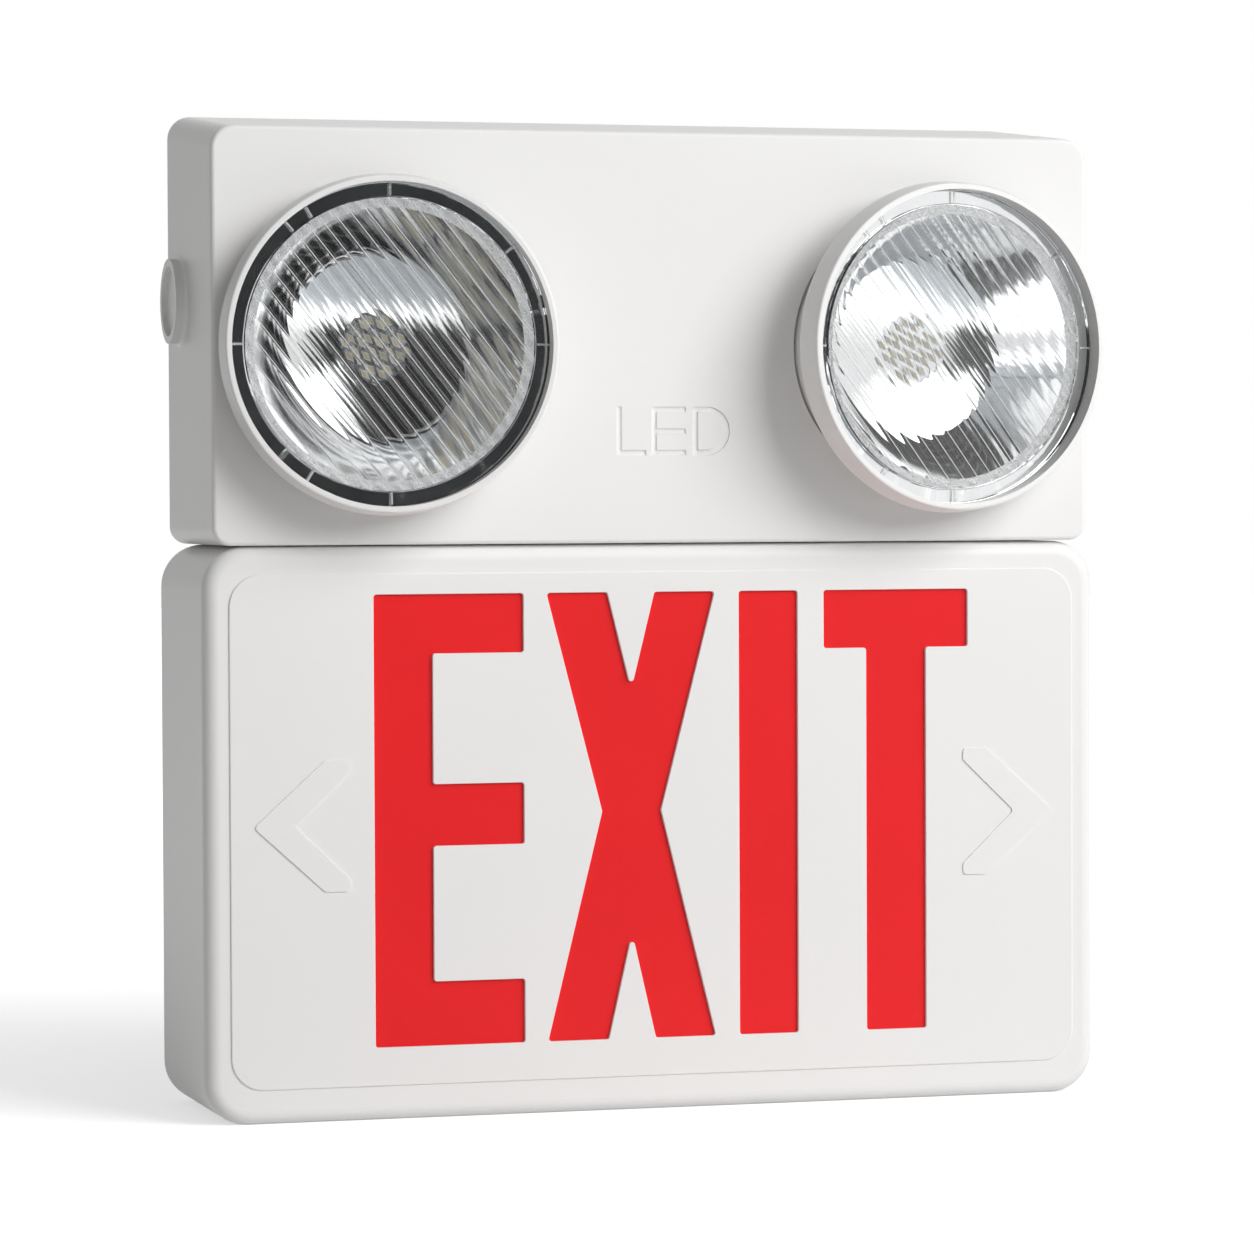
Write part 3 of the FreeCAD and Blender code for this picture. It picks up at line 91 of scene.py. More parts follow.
# ---- Sizes and colours that a user may change ---------------------------------------------------
class HousingSettings(bpy.types.PropertyGroup):
    plastic: bpy.props.FloatVectorProperty(
        name="Housing", description="Colour of the moulded housings", subtype="COLOR",
        size=3, min=0, max=1, default=(0.865, 0.861, 0.850),
    )
    roughness: bpy.props.FloatProperty(
        name="Roughness", description="Roughness of the moulded housings", subtype="FACTOR",
        min=0, max=1, default=0.42,
    )
    letter_height: bpy.props.FloatProperty(
        name="Letter height", description="Height of the engraved letters", subtype="DISTANCE",
        unit="LENGTH", min=0.005, max=0.05, default=0.017,
    )
    letter_stroke: bpy.props.FloatProperty(
        name="Letter stroke", description="Stroke width of the engraved letters",
        subtype="DISTANCE", unit="LENGTH", min=0.0005, max=0.005, default=0.0023,
    )
    letter_depth: bpy.props.FloatProperty(
        name="Letter depth", description="Depth of the engraved letters", subtype="DISTANCE",
        unit="LENGTH", min=0.0001, max=0.001, default=0.0006,
    )
    letter_slope: bpy.props.FloatProperty(
        name="Letter slope", description="How far a stroke's sides slope inwards",
        subtype="DISTANCE", unit="LENGTH", min=0, max=0.0008, default=0.0003,
    )


class LegendSettings(bpy.types.PropertyGroup):
    red: bpy.props.FloatVectorProperty(
        name="Legend", description="Colour of the diffuser behind the letters", subtype="COLOR",
        size=3, min=0, max=1, default=(0.86, 0.013, 0.017),
    )
    roughness: bpy.props.FloatProperty(
        name="Roughness", description="Roughness of the diffuser", subtype="FACTOR",
        min=0, max=1, default=0.35,
    )


class LampSettings(bpy.types.PropertyGroup):
    lens_tint: bpy.props.FloatVectorProperty(
        name="Lens", description="Tint of the clear lenses", subtype="COLOR",
        size=3, min=0, max=1, default=(0.985, 0.99, 0.99),
    )
    lens_ior: bpy.props.FloatProperty(
        name="Lens IOR", description="Refractive index of the lenses", min=1, max=2, default=1.49,
    )
    metallising: bpy.props.FloatVectorProperty(
        name="Reflector", description="Colour of the metallised reflectors", subtype="COLOR",
        size=3, min=0, max=1, default=(0.90, 0.905, 0.91),
    )
    phosphor: bpy.props.FloatVectorProperty(
        name="Phosphor", description="Colour of the light-emitting chips", subtype="COLOR",
        size=3, min=0, max=1, default=(0.88, 0.78, 0.52),
    )


class LensSettings(bpy.types.PropertyGroup):
    flutes: bpy.props.IntProperty(
        name="Flutes", description="Straight flutes across the lens", min=4, max=60, default=21,
    )
    flute_angle: bpy.props.FloatProperty(
        name="Flute angle", description="Slope of the flutes, falling to the right",
        subtype="ANGLE", unit="ROTATION", min=0, max=math.pi, default=math.radians(52),
    )
    flute_depth: bpy.props.FloatProperty(
        name="Flute depth", description="Depth of a flute in the lens's back", subtype="DISTANCE",
        unit="LENGTH", min=0.0001, max=0.0015, default=0.0002,
    )
    rib: bpy.props.FloatProperty(
        name="Rib", description="Thickness of the matt ribs between the flutes",
        subtype="DISTANCE", unit="LENGTH", min=0.0001, max=0.001, default=0.0003,
    )
    land: bpy.props.FloatProperty(
        name="Land", description="Width of the flat land between two flutes", subtype="DISTANCE",
        unit="LENGTH", min=0.0001, max=0.001, default=0.00022,
    )
    dome_radius: bpy.props.FloatProperty(
        name="Dome radius", description="Radius of the fluted dome in front view",
        subtype="DISTANCE", unit="LENGTH", min=0.03, max=0.053, default=0.0488,
    )
    dome_rise: bpy.props.FloatProperty(
        name="Dome rise", description="How far the dome's middle stands ahead of its edge",
        subtype="DISTANCE", unit="LENGTH", min=0, max=0.005, default=0.0016,
    )
    flange_thickness: bpy.props.FloatProperty(
        name="Flange", description="Thickness of the lens's flange", subtype="DISTANCE",
        unit="LENGTH", min=0.001, max=0.004, default=0.002,
    )


class ReflectorSettings(bpy.types.PropertyGroup):
    mouth_radius: bpy.props.FloatProperty(
        name="Mouth", description="Radius of the bowl's mouth", subtype="DISTANCE",
        unit="LENGTH", min=0.03, max=0.05, default=0.0454,
    )
    base_radius: bpy.props.FloatProperty(
        name="Base", description="Radius of the bowl's dished base", subtype="DISTANCE",
        unit="LENGTH", min=0.01, max=0.04, default=0.028,
    )
    dish: bpy.props.FloatProperty(
        name="Dish", description="How far the base's edge stands ahead of its window",
        subtype="DISTANCE", unit="LENGTH", min=0, max=0.01, default=0.0034,
    )
    window_radius: bpy.props.FloatProperty(
        name="Window", description="Radius of the hole for the chips", subtype="DISTANCE",
        unit="LENGTH", min=0.005, max=0.03, default=0.0117,
    )
    wall: bpy.props.FloatProperty(
        name="Wall", description="Thickness of the wall behind the bowl's base", subtype="DISTANCE",
        unit="LENGTH", min=0.0002, max=0.001, default=0.0004,
    )


class StudioSettings(bpy.types.PropertyGroup):
    key_power: bpy.props.FloatProperty(
        name="Key", description="Power of the large soft light", subtype="POWER", unit="POWER",
        min=0, max=1000, default=51,
    )
    key_face: bpy.props.FloatProperty(
        name="Key face", description="How bright mirrors show the large light", min=0, max=20,
        default=2.3,
    )
    ambient: bpy.props.FloatProperty(
        name="Ambient", description="Light of the room on the object", min=0, max=2, default=0.19,
    )
    floor_glow: bpy.props.FloatProperty(
        name="Floor glow", description="Light of its own that makes the floor look white",
        min=0, max=1, default=0.56,
    )


# ---- Selecting and shaping ----------------------------------------------------------------------
MERGE = 1e-6
FLAT_ANGLE = math.radians(0.3)


def deselect_all():
    if bpy.context.mode != "OBJECT":
        bpy.ops.object.mode_set(mode="OBJECT")
    bpy.ops.object.select_all(action="DESELECT")


def only(piece):
    """Make this the one selected and active object."""
    deselect_all()
    piece.select_set(True)
    bpy.context.view_layer.objects.active = piece


def settle(piece):
    """Put the object's place and size into its mesh, so that it sits unturned at the origin."""
    only(piece)
    bpy.ops.object.transform_apply(location=True, rotation=True, scale=True)


def apply_modifier(piece, kind, **values):
    only(piece)
    modifier = piece.modifiers.new(kind.title(), kind)
    for key, value in values.items():
        setattr(modifier, key, value)
    bpy.ops.object.modifier_apply(modifier=modifier.name)


def carve(piece, cutter):
    """Cut a shape out of a piece, and drop the cutter."""
    apply_modifier(
        piece, "BOOLEAN", operation="DIFFERENCE", object=cutter, solver="EXACT", use_self=True
    )
    bpy.data.objects.remove(cutter)


def smooth(piece, angle=35):
    """Smooth shading with sharp creases kept, and flat faces that stay flat to their edges."""
    only(piece)
    bpy.ops.object.shade_smooth_by_angle(angle=math.radians(angle))
    apply_modifier(piece, "WEIGHTED_NORMAL", keep_sharp=True, weight=100)


def solid_copy(node, name):
    """Copy of a node's mesh with its loose triangles merged."""
    only(NODES[node])
    bpy.ops.object.duplicate()
    piece = bpy.context.object
    piece.name = name
    piece.parent = None
    for key in list(piece.keys()):
        del piece[key]
    bpy.ops.object.mode_set(mode="EDIT")
    bpy.ops.mesh.select_all(action="SELECT")
    bpy.ops.mesh.remove_doubles(threshold=MERGE)
    bpy.ops.mesh.dissolve_limited(angle_limit=FLAT_ANGLE)
    bpy.ops.object.mode_set(mode="OBJECT")
    return piece


def lathed(name, stations, segments):
    """Round shell about the Y axis: a circle extruded through (ahead, radius) stations."""
    deselect_all()
    ahead, radius = stations[0]
    bpy.ops.mesh.primitive_circle_add(
        vertices=segments, radius=radius, location=(0, -ahead, 0), rotation=(math.pi / 2, 0, 0)
    )
    piece = bpy.context.object
    piece.name = name
    settle(piece)
    bpy.ops.object.mode_set(mode="EDIT")
    bpy.ops.mesh.select_all(action="SELECT")
    for next_ahead, next_radius in stations[1:]:
        bpy.ops.mesh.extrude_edges_move(TRANSFORM_OT_translate={"value": (0, ahead - next_ahead, 0)})
        scale = next_radius / radius
        bpy.ops.transform.resize(value=(scale, 1, scale), center_override=(0, -next_ahead, 0))
        ahead, radius = next_ahead, next_radius
    bpy.ops.object.mode_set(mode="OBJECT")
    return piece


def close_up(piece):
    """Merge what meets, cap what is still open, and turn the faces outwards."""
    only(piece)
    bpy.ops.object.mode_set(mode="EDIT")
    bpy.ops.mesh.select_all(action="SELECT")
    bpy.ops.mesh.remove_doubles(threshold=MERGE)
    bpy.ops.mesh.select_all(action="DESELECT")
    bpy.ops.mesh.select_mode(type="EDGE")
    bpy.ops.mesh.select_non_manifold()
    if any(edge.select for edge in edges_now(piece)):
        bpy.ops.mesh.edge_face_add()
    bpy.ops.mesh.select_all(action="SELECT")
    bpy.ops.mesh.normals_make_consistent(inside=False)
    bpy.ops.object.mode_set(mode="OBJECT")


def drop_selection(piece):
    """Leave nothing selected in a mesh, so that code can choose its vertices or faces."""
    only(piece)
    bpy.ops.object.mode_set(mode="EDIT")
    bpy.ops.mesh.select_all(action="DESELECT")
    bpy.ops.object.mode_set(mode="OBJECT")


def edges_now(piece):
    """Edges with their selection as it is in edit mode."""
    piece.update_from_editmode()
    return piece.data.edges


def joined(pieces, name):
    deselect_all()
    for piece in pieces:
        piece.select_set(True)
    bpy.context.view_layer.objects.active = pieces[0]
    bpy.ops.object.join()
    piece = bpy.context.object
    piece.name = name
    return piece


def copy_at(pattern, place):
    only(pattern)
    bpy.ops.object.duplicate()
    piece = bpy.context.object
    piece.matrix_world = place
    settle(piece)
    return piece


def copies(pattern, places, name):
    """One piece made of a copy of the pattern at each place, and drop the pattern."""
    row = joined([copy_at(pattern, place) for place in places], name)
    bpy.data.objects.remove(pattern)
    return row


def place_piece(piece, body, node):
    """Let a finished piece ride on its body in place of a node."""
    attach(piece, body)
    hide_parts(node)


def place_in_heads(pattern, suffix, node_suffix):
    """Copy a pattern, modelled in a head's own frame, into both heads."""
    for side in SIDES:
        piece = copy_at(pattern, facing(side))
        piece.name = side + suffix
        place_piece(piece, side + "_head", side + node_suffix)
    bpy.data.objects.remove(pattern)


def finish_with(piece, *materials):
    piece.data.materials.clear()
    for material in materials:
        piece.data.materials.append(material)


# ---- Material nodes -----------------------------------------------------------------------------
def new_material(name, **values):
    """Principled material with plain values on its sockets; returns it and its Object coordinates."""
    material = bpy.data.materials.new(name)
    material.use_nodes = True
    shader = material.node_tree.nodes["Principled BSDF"]
    for key, value in values.items():
        socket = shader.inputs[key.replace("_", " ")]
        socket.default_value = (*value, 1) if socket.type == "RGBA" else value
    coords = material.node_tree.nodes.new("ShaderNodeTexCoord")
    return material, coords.outputs["Object"]


def stretched(material, vector, scale):
    node = material.node_tree.nodes.new("ShaderNodeMapping")
    node.inputs["Scale"].default_value = scale
    material.node_tree.links.new(vector, node.inputs["Vector"])
    return node.outputs["Vector"]


def noise(material, vector, scale, detail=2.0, roughness=0.5):
    node = material.node_tree.nodes.new("ShaderNodeTexNoise")
    node.inputs["Scale"].default_value = scale
    node.inputs["Detail"].default_value = detail
    node.inputs["Roughness"].default_value = roughness
    material.node_tree.links.new(vector, node.inputs["Vector"])
    return node.outputs["Fac"]


def drive(material, factor, socket_name, low, high, start=0.3, end=0.7):
    """Let a factor move a shader value between low and high."""
    tree = material.node_tree
    node = tree.nodes.new("ShaderNodeMapRange")
    for key, value in (("From Min", start), ("From Max", end), ("To Min", low), ("To Max", high)):
        node.inputs[key].default_value = value
    tree.links.new(factor, node.inputs["Value"])
    tree.links.new(node.outputs["Result"], tree.nodes["Principled BSDF"].inputs[socket_name])


def tint(material, factor, first, second, start=0.3, end=0.7):
    """Let a factor move the base colour between two colours."""
    tree = material.node_tree
    node = tree.nodes.new("ShaderNodeValToRGB")
    node.color_ramp.elements[0].position = start
    node.color_ramp.elements[0].color = (*first, 1)
    node.color_ramp.elements[1].position = end
    node.color_ramp.elements[1].color = (*second, 1)
    tree.links.new(factor, node.inputs["Fac"])
    tree.links.new(node.outputs["Color"], tree.nodes["Principled BSDF"].inputs["Base Color"])


def bump(material, height, strength, distance):
    tree = material.node_tree
    node = tree.nodes.new("ShaderNodeBump")
    node.inputs["Strength"].default_value = strength
    node.inputs["Distance"].default_value = distance
    tree.links.new(height, node.inputs["Height"])
    tree.links.new(node.outputs["Normal"], tree.nodes["Principled BSDF"].inputs["Normal"])


def shade(colour, amount):
    return tuple(min(1.0, channel * amount) for channel in colour)


# ---- Finishes -----------------------------------------------------------------------------------
def moulded_plastic(name, colour, roughness, grain=2600.0, relief=0.00004):
    """Satin thermoplastic: a fine moulded grain and very faint flow marks."""
    material, place = new_material(name, IOR=1.5)
    flow = noise(material, place, 9.0, 3.0)
    tint(material, flow, shade(colour, 0.985), colour)
    grain_height = noise(material, place, grain, 2.0, 0.6)
    drive(material, grain_height, "Roughness", roughness - 0.05, roughness + 0.05)
    bump(material, grain_height, 0.12, relief)
    return material


def legend_sheet(settings):
    """Translucent red sheet, a little glossier than the housing."""
    material, place = new_material(
        "Legend sheet", IOR=1.49, Specular_IOR_Level=0.3, Subsurface_Weight=0.15,
        Subsurface_Scale=0.002,
    )
    material.node_tree.nodes["Principled BSDF"].inputs["Subsurface Radius"].default_value = (1, 0.1, 0.1)
    cloud = noise(material, place, 18.0, 3.0)
    tint(material, cloud, shade(settings.red, 0.95), settings.red)
    fine = noise(material, place, 1800.0)
    drive(material, fine, "Roughness", settings.roughness - 0.04, settings.roughness + 0.05)
    bump(material, fine, 0.05, 0.00003)
    return material


def lens_moulding(settings):
    """Clear polished acrylic with the faint waviness of an injection moulding."""
    material, place = new_material(
        "Lens moulding", IOR=settings.lens_ior, Transmission_Weight=1.0,
        Base_Color=settings.lens_tint,
    )
    wave = noise(material, place, 160.0, 2.0)
    drive(material, wave, "Roughness", 0.0, 0.02)
    bump(material, wave, 0.05, 0.0002)
    return material


def frosted_moulding(settings):
    """The same acrylic where the mould is matt: the ribs between the flutes."""
    material, place = new_material(
        "Frosted moulding", IOR=settings.lens_ior, Transmission_Weight=0.25,
        Base_Color=(0.98, 0.985, 0.985),
    )
    frost = noise(material, place, 900.0, 3.0)
    drive(material, frost, "Roughness", 0.25, 0.6)
    bump(material, frost, 0.4, 0.0002)
    return material


def tab_moulding(settings):
    """Clear acrylic with a rough cast surface that sparkles."""
    material, place = new_material(
        "Tab moulding", IOR=settings.lens_ior, Transmission_Weight=0.7,
        Base_Color=(0.98, 0.985, 0.985),
    )
    grit = noise(material, place, 520.0, 4.0, 0.7)
    drive(material, grit, "Roughness", 0.02, 0.35)
    bump(material, grit, 0.7, 0.0005)
    return material


def metallising(settings):
    """Vacuum metallised plastic: bright, with the slight unevenness of the moulding under it."""
    material, place = new_material("Metallising", Metallic=1.0)
    cloud = noise(material, place, 60.0, 3.0)
    tint(material, cloud, shade(settings.metallising, 0.93), settings.metallising)
    drive(material, cloud, "Roughness", 0.04, 0.10)
    bump(material, cloud, 0.04, 0.0005)
    return material


def crinkled_metallising(settings):
    """Metallising over the crinkled lip, which breaks up what it mirrors."""
    material, place = new_material("Crinkled metallising", Metallic=1.0)
    crinkle = noise(material, place, 430.0, 5.0, 0.75)
    tint(material, crinkle, shade(settings.metallising, 0.78), settings.metallising)
    drive(material, crinkle, "Roughness", 0.16, 0.42)
    bump(material, crinkle, 0.8, 0.0008)
    return material


def phosphor_chip(settings):
    material, place = new_material("Phosphor chip", Coat_Weight=0.5, Coat_Roughness=0.2)
    cloud = noise(material, place, 900.0, 3.0)
    tint(material, cloud, shade(settings.phosphor, 0.86), settings.phosphor)
    drive(material, cloud, "Roughness", 0.3, 0.45)
    bump(material, cloud, 0.2, 0.0001)
    return material


def plated_metal(name, colour, roughness, brushing):
    """Plated or plain metal with fine scratches along the way that brushing stretches them."""
    material, place = new_material(name, Metallic=1.0)
    scratches = noise(material, stretched(material, place, brushing), 400.0, 4.0, 0.7)
    tint(material, scratches, shade(colour, 0.82), colour)
    drive(material, scratches, "Roughness", roughness - 0.08, roughness + 0.12)
    bump(material, scratches, 0.08, 0.00004)
    return material


def board_laminate(name, colour, copper):
    """Printed board: solder mask over faintly raised tracks."""
    material, place = new_material(name, Coat_Weight=0.4, Coat_Roughness=0.25)
    tree = material.node_tree
    bricks = tree.nodes.new("ShaderNodeTexBrick")
    tracks = {"Scale": 90.0, "Mortar Size": 0.035, "Brick Width": 0.8, "Row Height": 0.3}
    for key, value in tracks.items():
        bricks.inputs[key].default_value = value
    tree.links.new(place, bricks.inputs["Vector"])
    tint(material, bricks.outputs["Fac"], colour, copper, 0.4, 0.6)
    fine = noise(material, place, 1500.0)
    drive(material, fine, "Roughness", 0.35, 0.5)
    bump(material, bricks.outputs["Fac"], 0.25, 0.00004)
    return material


FINISHES = {}


def finish(key):
    return FINISHES[key]


def make_finishes():
    scene = bpy.context.scene
    housing = scene.exit_housing
    lamp = scene.exit_lamp
    white = tuple(housing.plastic)
    FINISHES.update({
        "white_plastic": moulded_plastic("Housing plastic", white, housing.roughness),
        "inner_plastic": moulded_plastic("Inner plastic", shade(white, 0.92), 0.5, 1400.0, 0.00008),
        "red_acrylic": legend_sheet(scene.exit_legend),
        "clear_lens": lens_moulding(lamp),
        "frosted_lens": frosted_moulding(lamp),
        "tab_lens": tab_moulding(lamp),
        "mirror_finish": metallising(lamp),
        "crinkled_lip": crinkled_metallising(lamp),
        "white_board": board_laminate("White board", (0.86, 0.86, 0.84), (0.74, 0.74, 0.71)),
        "chip_package": moulded_plastic("Chip package", (0.90, 0.90, 0.88), 0.3, 1500.0, 0.00003),
        "bright_board": plated_metal("Bright board", (0.86, 0.87, 0.88), 0.2, (1, 1, 1)),
        "phosphor": phosphor_chip(lamp),
        "aluminium": plated_metal("Cast aluminium", (0.72, 0.73, 0.75), 0.42, (1, 1, 1)),
        "screw_steel": plated_metal("Zinc plated steel", (0.66, 0.67, 0.68), 0.34, (1, 6, 1)),
        "plated_steel": plated_metal("Bright plated steel", (0.70, 0.70, 0.68), 0.30, (1, 1, 8)),
        "battery_sleeve": moulded_plastic("Battery sleeve", (0.06, 0.18, 0.45), 0.25, 500.0, 0.0001),
        "green_board": board_laminate("Green board", (0.03, 0.20, 0.09), (0.06, 0.32, 0.14)),
        "black_plastic": moulded_plastic("Black plastic", (0.03, 0.03, 0.033), 0.4, 1800.0, 0.00006),
        "core_steel": plated_metal("Core laminations", (0.20, 0.20, 0.21), 0.5, (1, 30, 1)),
        "button_plastic": moulded_plastic("Button plastic", (0.42, 0.43, 0.44), 0.3),
        "pilot_red": moulded_plastic("Pilot lamp", (0.62, 0.03, 0.02), 0.12, 300.0, 0.00002),
    })


class EXITLIGHT_OT_finishes(bpy.types.Operator):
    """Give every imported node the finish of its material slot"""
    bl_idname = "exit_light.finishes"
    bl_label = "Finishes"

    def execute(self, context):
        make_finishes()
        for part in frame["record"]["subparts"]:
            finish_with(NODES[part["node"]], finish(part["material_slot"]))
        for side in SIDES:
            finish_with(NODES[side + "_led_board"], finish("bright_board"))
        return {"FINISHED"}


# ---- Engraved letters ---------------------------------------------------------------------------
class EXITLIGHT_OT_lettering(bpy.types.Operator):
    """Engrave the three plain letters in the lamp housing's front"""
    bl_idname = "exit_light.lettering"
    bl_label = "Engraved letters"

    def execute(self, context):
        housing = solid_copy("lamp_housing", "lamp_housing_engraved")
        carve(housing, letter_cutter(context.scene.exit_housing))
        smooth(housing)
        finish_with(housing, finish("white_plastic"))
        place_piece(housing, "body", "lamp_housing")
        return {"FINISHED"}


LETTERS_LEFT = -15.7 * MM
LETTERS_BASE = 223.4 * MM
L_WIDTH = 10.8 * MM
E_LEFT = -3.3 * MM
E_WIDTH = 12.6 * MM
D_LEFT = 11.3 * MM
D_ARM = 5.8 * MM
BOW_OVERLAP = 0.6 * MM
BOW_STEPS = 24


def bar(x0, x1, z0, z1, front, depth, slope):
    """One straight stroke of a letter, as a block with sloping sides that reaches into the front."""
    deselect_all()
    width, height = x1 - x0, z1 - z0
    middle = Vector(((x0 + x1) / 2, front, (z0 + z1) / 2))
    bpy.ops.mesh.primitive_cube_add(size=1, location=middle, scale=(width, 2 * depth, height))
    piece = bpy.context.object
    settle(piece)
    draw_in(piece, front, middle, (1 - 2 * slope / width, 1, 1 - 2 * slope / height))
    return piece


def draw_in(piece, front, middle, scale):
    """Scale the deep end of a cutter about its middle, for its draft."""
    for vertex in piece.data.vertices:
        vertex.select = vertex.co.y > front
    for part in (*piece.data.edges, *piece.data.polygons):
        part.select = False
    bpy.ops.object.mode_set(mode="EDIT")
    bpy.ops.mesh.select_mode(type="VERT")
    bpy.ops.transform.resize(value=scale, center_override=middle)
    bpy.ops.object.mode_set(mode="OBJECT")


def letter_cutter(settings):
    """All strokes of the letters in one cutter."""
    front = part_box("lamp_housing")[0].y
    stroke = settings.letter_stroke
    low = LETTERS_BASE
    high = low + settings.letter_height
    middle = (low + high) / 2
    strokes = [
        (LETTERS_LEFT, LETTERS_LEFT + stroke, low, high),
        (LETTERS_LEFT, LETTERS_LEFT + L_WIDTH, low, low + stroke),
        (E_LEFT, E_LEFT + stroke, low, high),
        (E_LEFT, E_LEFT + E_WIDTH, low, low + stroke),
        (E_LEFT, E_LEFT + E_WIDTH, middle - stroke / 2, middle + stroke / 2),
        (E_LEFT, E_LEFT + E_WIDTH, high - stroke, high),
        (D_LEFT, D_LEFT + stroke, low, high),
        (D_LEFT, D_LEFT + D_ARM, low, low + stroke),
        (D_LEFT, D_LEFT + D_ARM, high - stroke, high),
    ]
    bars = [bar(*place, front, settings.letter_depth, settings.letter_slope) for place in strokes]
    return joined([*bars, bow(settings, front, low, high)], "Letters")


def bow(settings, front, low, high):
    """The D's bow: a square section spun through half a turn between its two short arms."""
    stroke = settings.letter_stroke
    centre = Vector((D_LEFT + D_ARM - BOW_OVERLAP, front, (low + high) / 2))
    middle = centre + Vector((0, 0, (high - low - stroke) / 2))
    deselect_all()
    bpy.ops.mesh.primitive_plane_add(size=1, location=middle, rotation=(0, math.radians(90), 0))
    piece = bpy.context.object
    piece.scale = (stroke, 2 * settings.letter_depth, 1)
    settle(piece)
    draw_in(piece, front, middle, (1, 1, 1 - 2 * settings.letter_slope / stroke))
    bpy.ops.object.mode_set(mode="EDIT")
    bpy.ops.mesh.select_all(action="SELECT")
    bpy.ops.mesh.spin(steps=BOW_STEPS, angle=-math.pi, center=centre, axis=(0, 1, 0))
    bpy.ops.mesh.select_all(action="SELECT")
    bpy.ops.mesh.normals_make_consistent(inside=False)
    bpy.ops.object.mode_set(mode="OBJECT")
    return piece


# ---- Back screws --------------------------------------------------------------------------------
class EXITLIGHT_OT_screws(bpy.types.Operator):
    """Cross recesses in the heads of the screws that hold the back plates"""
    bl_idname = "exit_light.screws"
    bl_label = "Screw recesses"

    def execute(self, context):
        for node in ("sign_back_screws", "lamp_back_screws"):
            screws = solid_copy(node, node + "_crossed")
            carve(screws, cross_cutter(screws))
            smooth(screws)
            finish_with(screws, finish("screw_steel"))
            place_piece(screws, "body", node)
        return {"FINISHED"}


RECESS_LENGTH = 3.2 * MM
RECESS_WIDTH = 0.7 * MM
RECESS_DEPTH = 1.0 * MM
RECESS_TURNS = (20, 110)
HEAD_FACE = 0.05 * MM


def middle_of(values):
    return (max(values) + min(values)) / 2


def head_centres(screws):
    """Middle of each of the four heads, whose faces are the very back."""
    points = [vertex.co for vertex in screws.data.vertices]
    back = max(point.y for point in points)
    rims = [point for point in points if point.y > back - HEAD_FACE]
    middle = middle_of([point.z for point in rims])
    centres = []
    for left in (True, False):
        for low in (True, False):
            rim = [point for point in rims if (point.x < 0) == left and (point.z < middle) == low]
            across = middle_of([point.x for point in rim])
            up = middle_of([point.z for point in rim])
            centres.append((across, back, up))
    return centres


def cross_cutter(screws):
    """Two crossing slots at the middle of each head."""
    deselect_all()
    bpy.ops.mesh.primitive_cube_add(size=1, scale=(RECESS_LENGTH, 2 * RECESS_DEPTH, RECESS_WIDTH))
    slot = bpy.context.object
    settle(slot)
    turns = [Matrix.Rotation(math.radians(turn), 4, "Y") for turn in RECESS_TURNS]
    places = [Matrix.Translation(centre) @ turn for centre in head_centres(screws) for turn in turns]
    return copies(slot, places, "Slots")


# ---- Lenses -------------------------------------------------------------------------------------
class EXITLIGHT_OT_lenses(bpy.types.Operator):
    """Fluted lens of each head: flange with tabs, scooped dome and fine ribs"""
    bl_idname = "exit_light.lenses"
    bl_label = "Lenses"

    def execute(self, context):
        settings = context.scene.exit_lens
        back, crown, radius = stations_of("left_lens", "left")
        pattern = joined([
            fluted_dome(settings, back, crown), flute_ribs(settings, crown),
            tabbed_flange(settings, back, radius),
        ], "Lens pattern")
        place_in_heads(pattern, "_lens_fluted", "_lens")
        return {"FINISHED"}


PIECE_GAP = 0.03 * MM
DOME_SEGMENTS = 144
DOME_STEPS = 10
SCOOP_SEGMENTS = 120
SCOOP_LENGTH = 2.2
RIB_SIDES = 8
RIB_STEPS = 14
RIB_END = 1.0 * MM
FLANGE_CHAMFER = 0.3 * MM
TAB_ANGLES = (0, 38, 90, 122, 131, 180, 238, 270)
TAB_SHARE = 0.8
TAB_WIDTH = 0.7 * MM
TAB_PROUD = 0.35 * MM
TAB_ROUND = 0.1 * MM


def fluted_dome(settings, back, crown):
    """Low dome whose back is scooped into flutes."""
    radius = settings.dome_radius - PIECE_GAP
    edge = crown - settings.dome_rise
    stations = [(back, radius), (edge, radius)]
    for i in range(1, DOME_STEPS):
        share = i / DOME_STEPS
        stations.append((edge + settings.dome_rise * share * (2 - share), radius * (1 - share)))
    dome = lathed("Dome", stations, DOME_SEGMENTS)
    close_up(dome)
    carve(dome, scoops(settings, back))
    smooth(dome, 20)
    finish_with(dome, finish("clear_lens"))
    return dome


def flute_ribs(settings, crown):
    """Fine matt ribs that follow the dome's outside, one between each two flutes."""
    radius = settings.dome_radius
    pitch = 2 * radius / settings.flutes
    ribs = []
    for i in range(1, settings.flutes):
        across = i * pitch - radius
        reach = math.sqrt(radius ** 2 - across ** 2) - RIB_END
        ribs.append(flute_rib(settings, across, reach, crown))
    rows = joined(ribs, "Ribs")
    rows.rotation_euler = (0, settings.flute_angle - math.pi / 2, 0)
    settle(rows)
    smooth(rows)
    finish_with(rows, finish("frosted_lens"))
    return rows


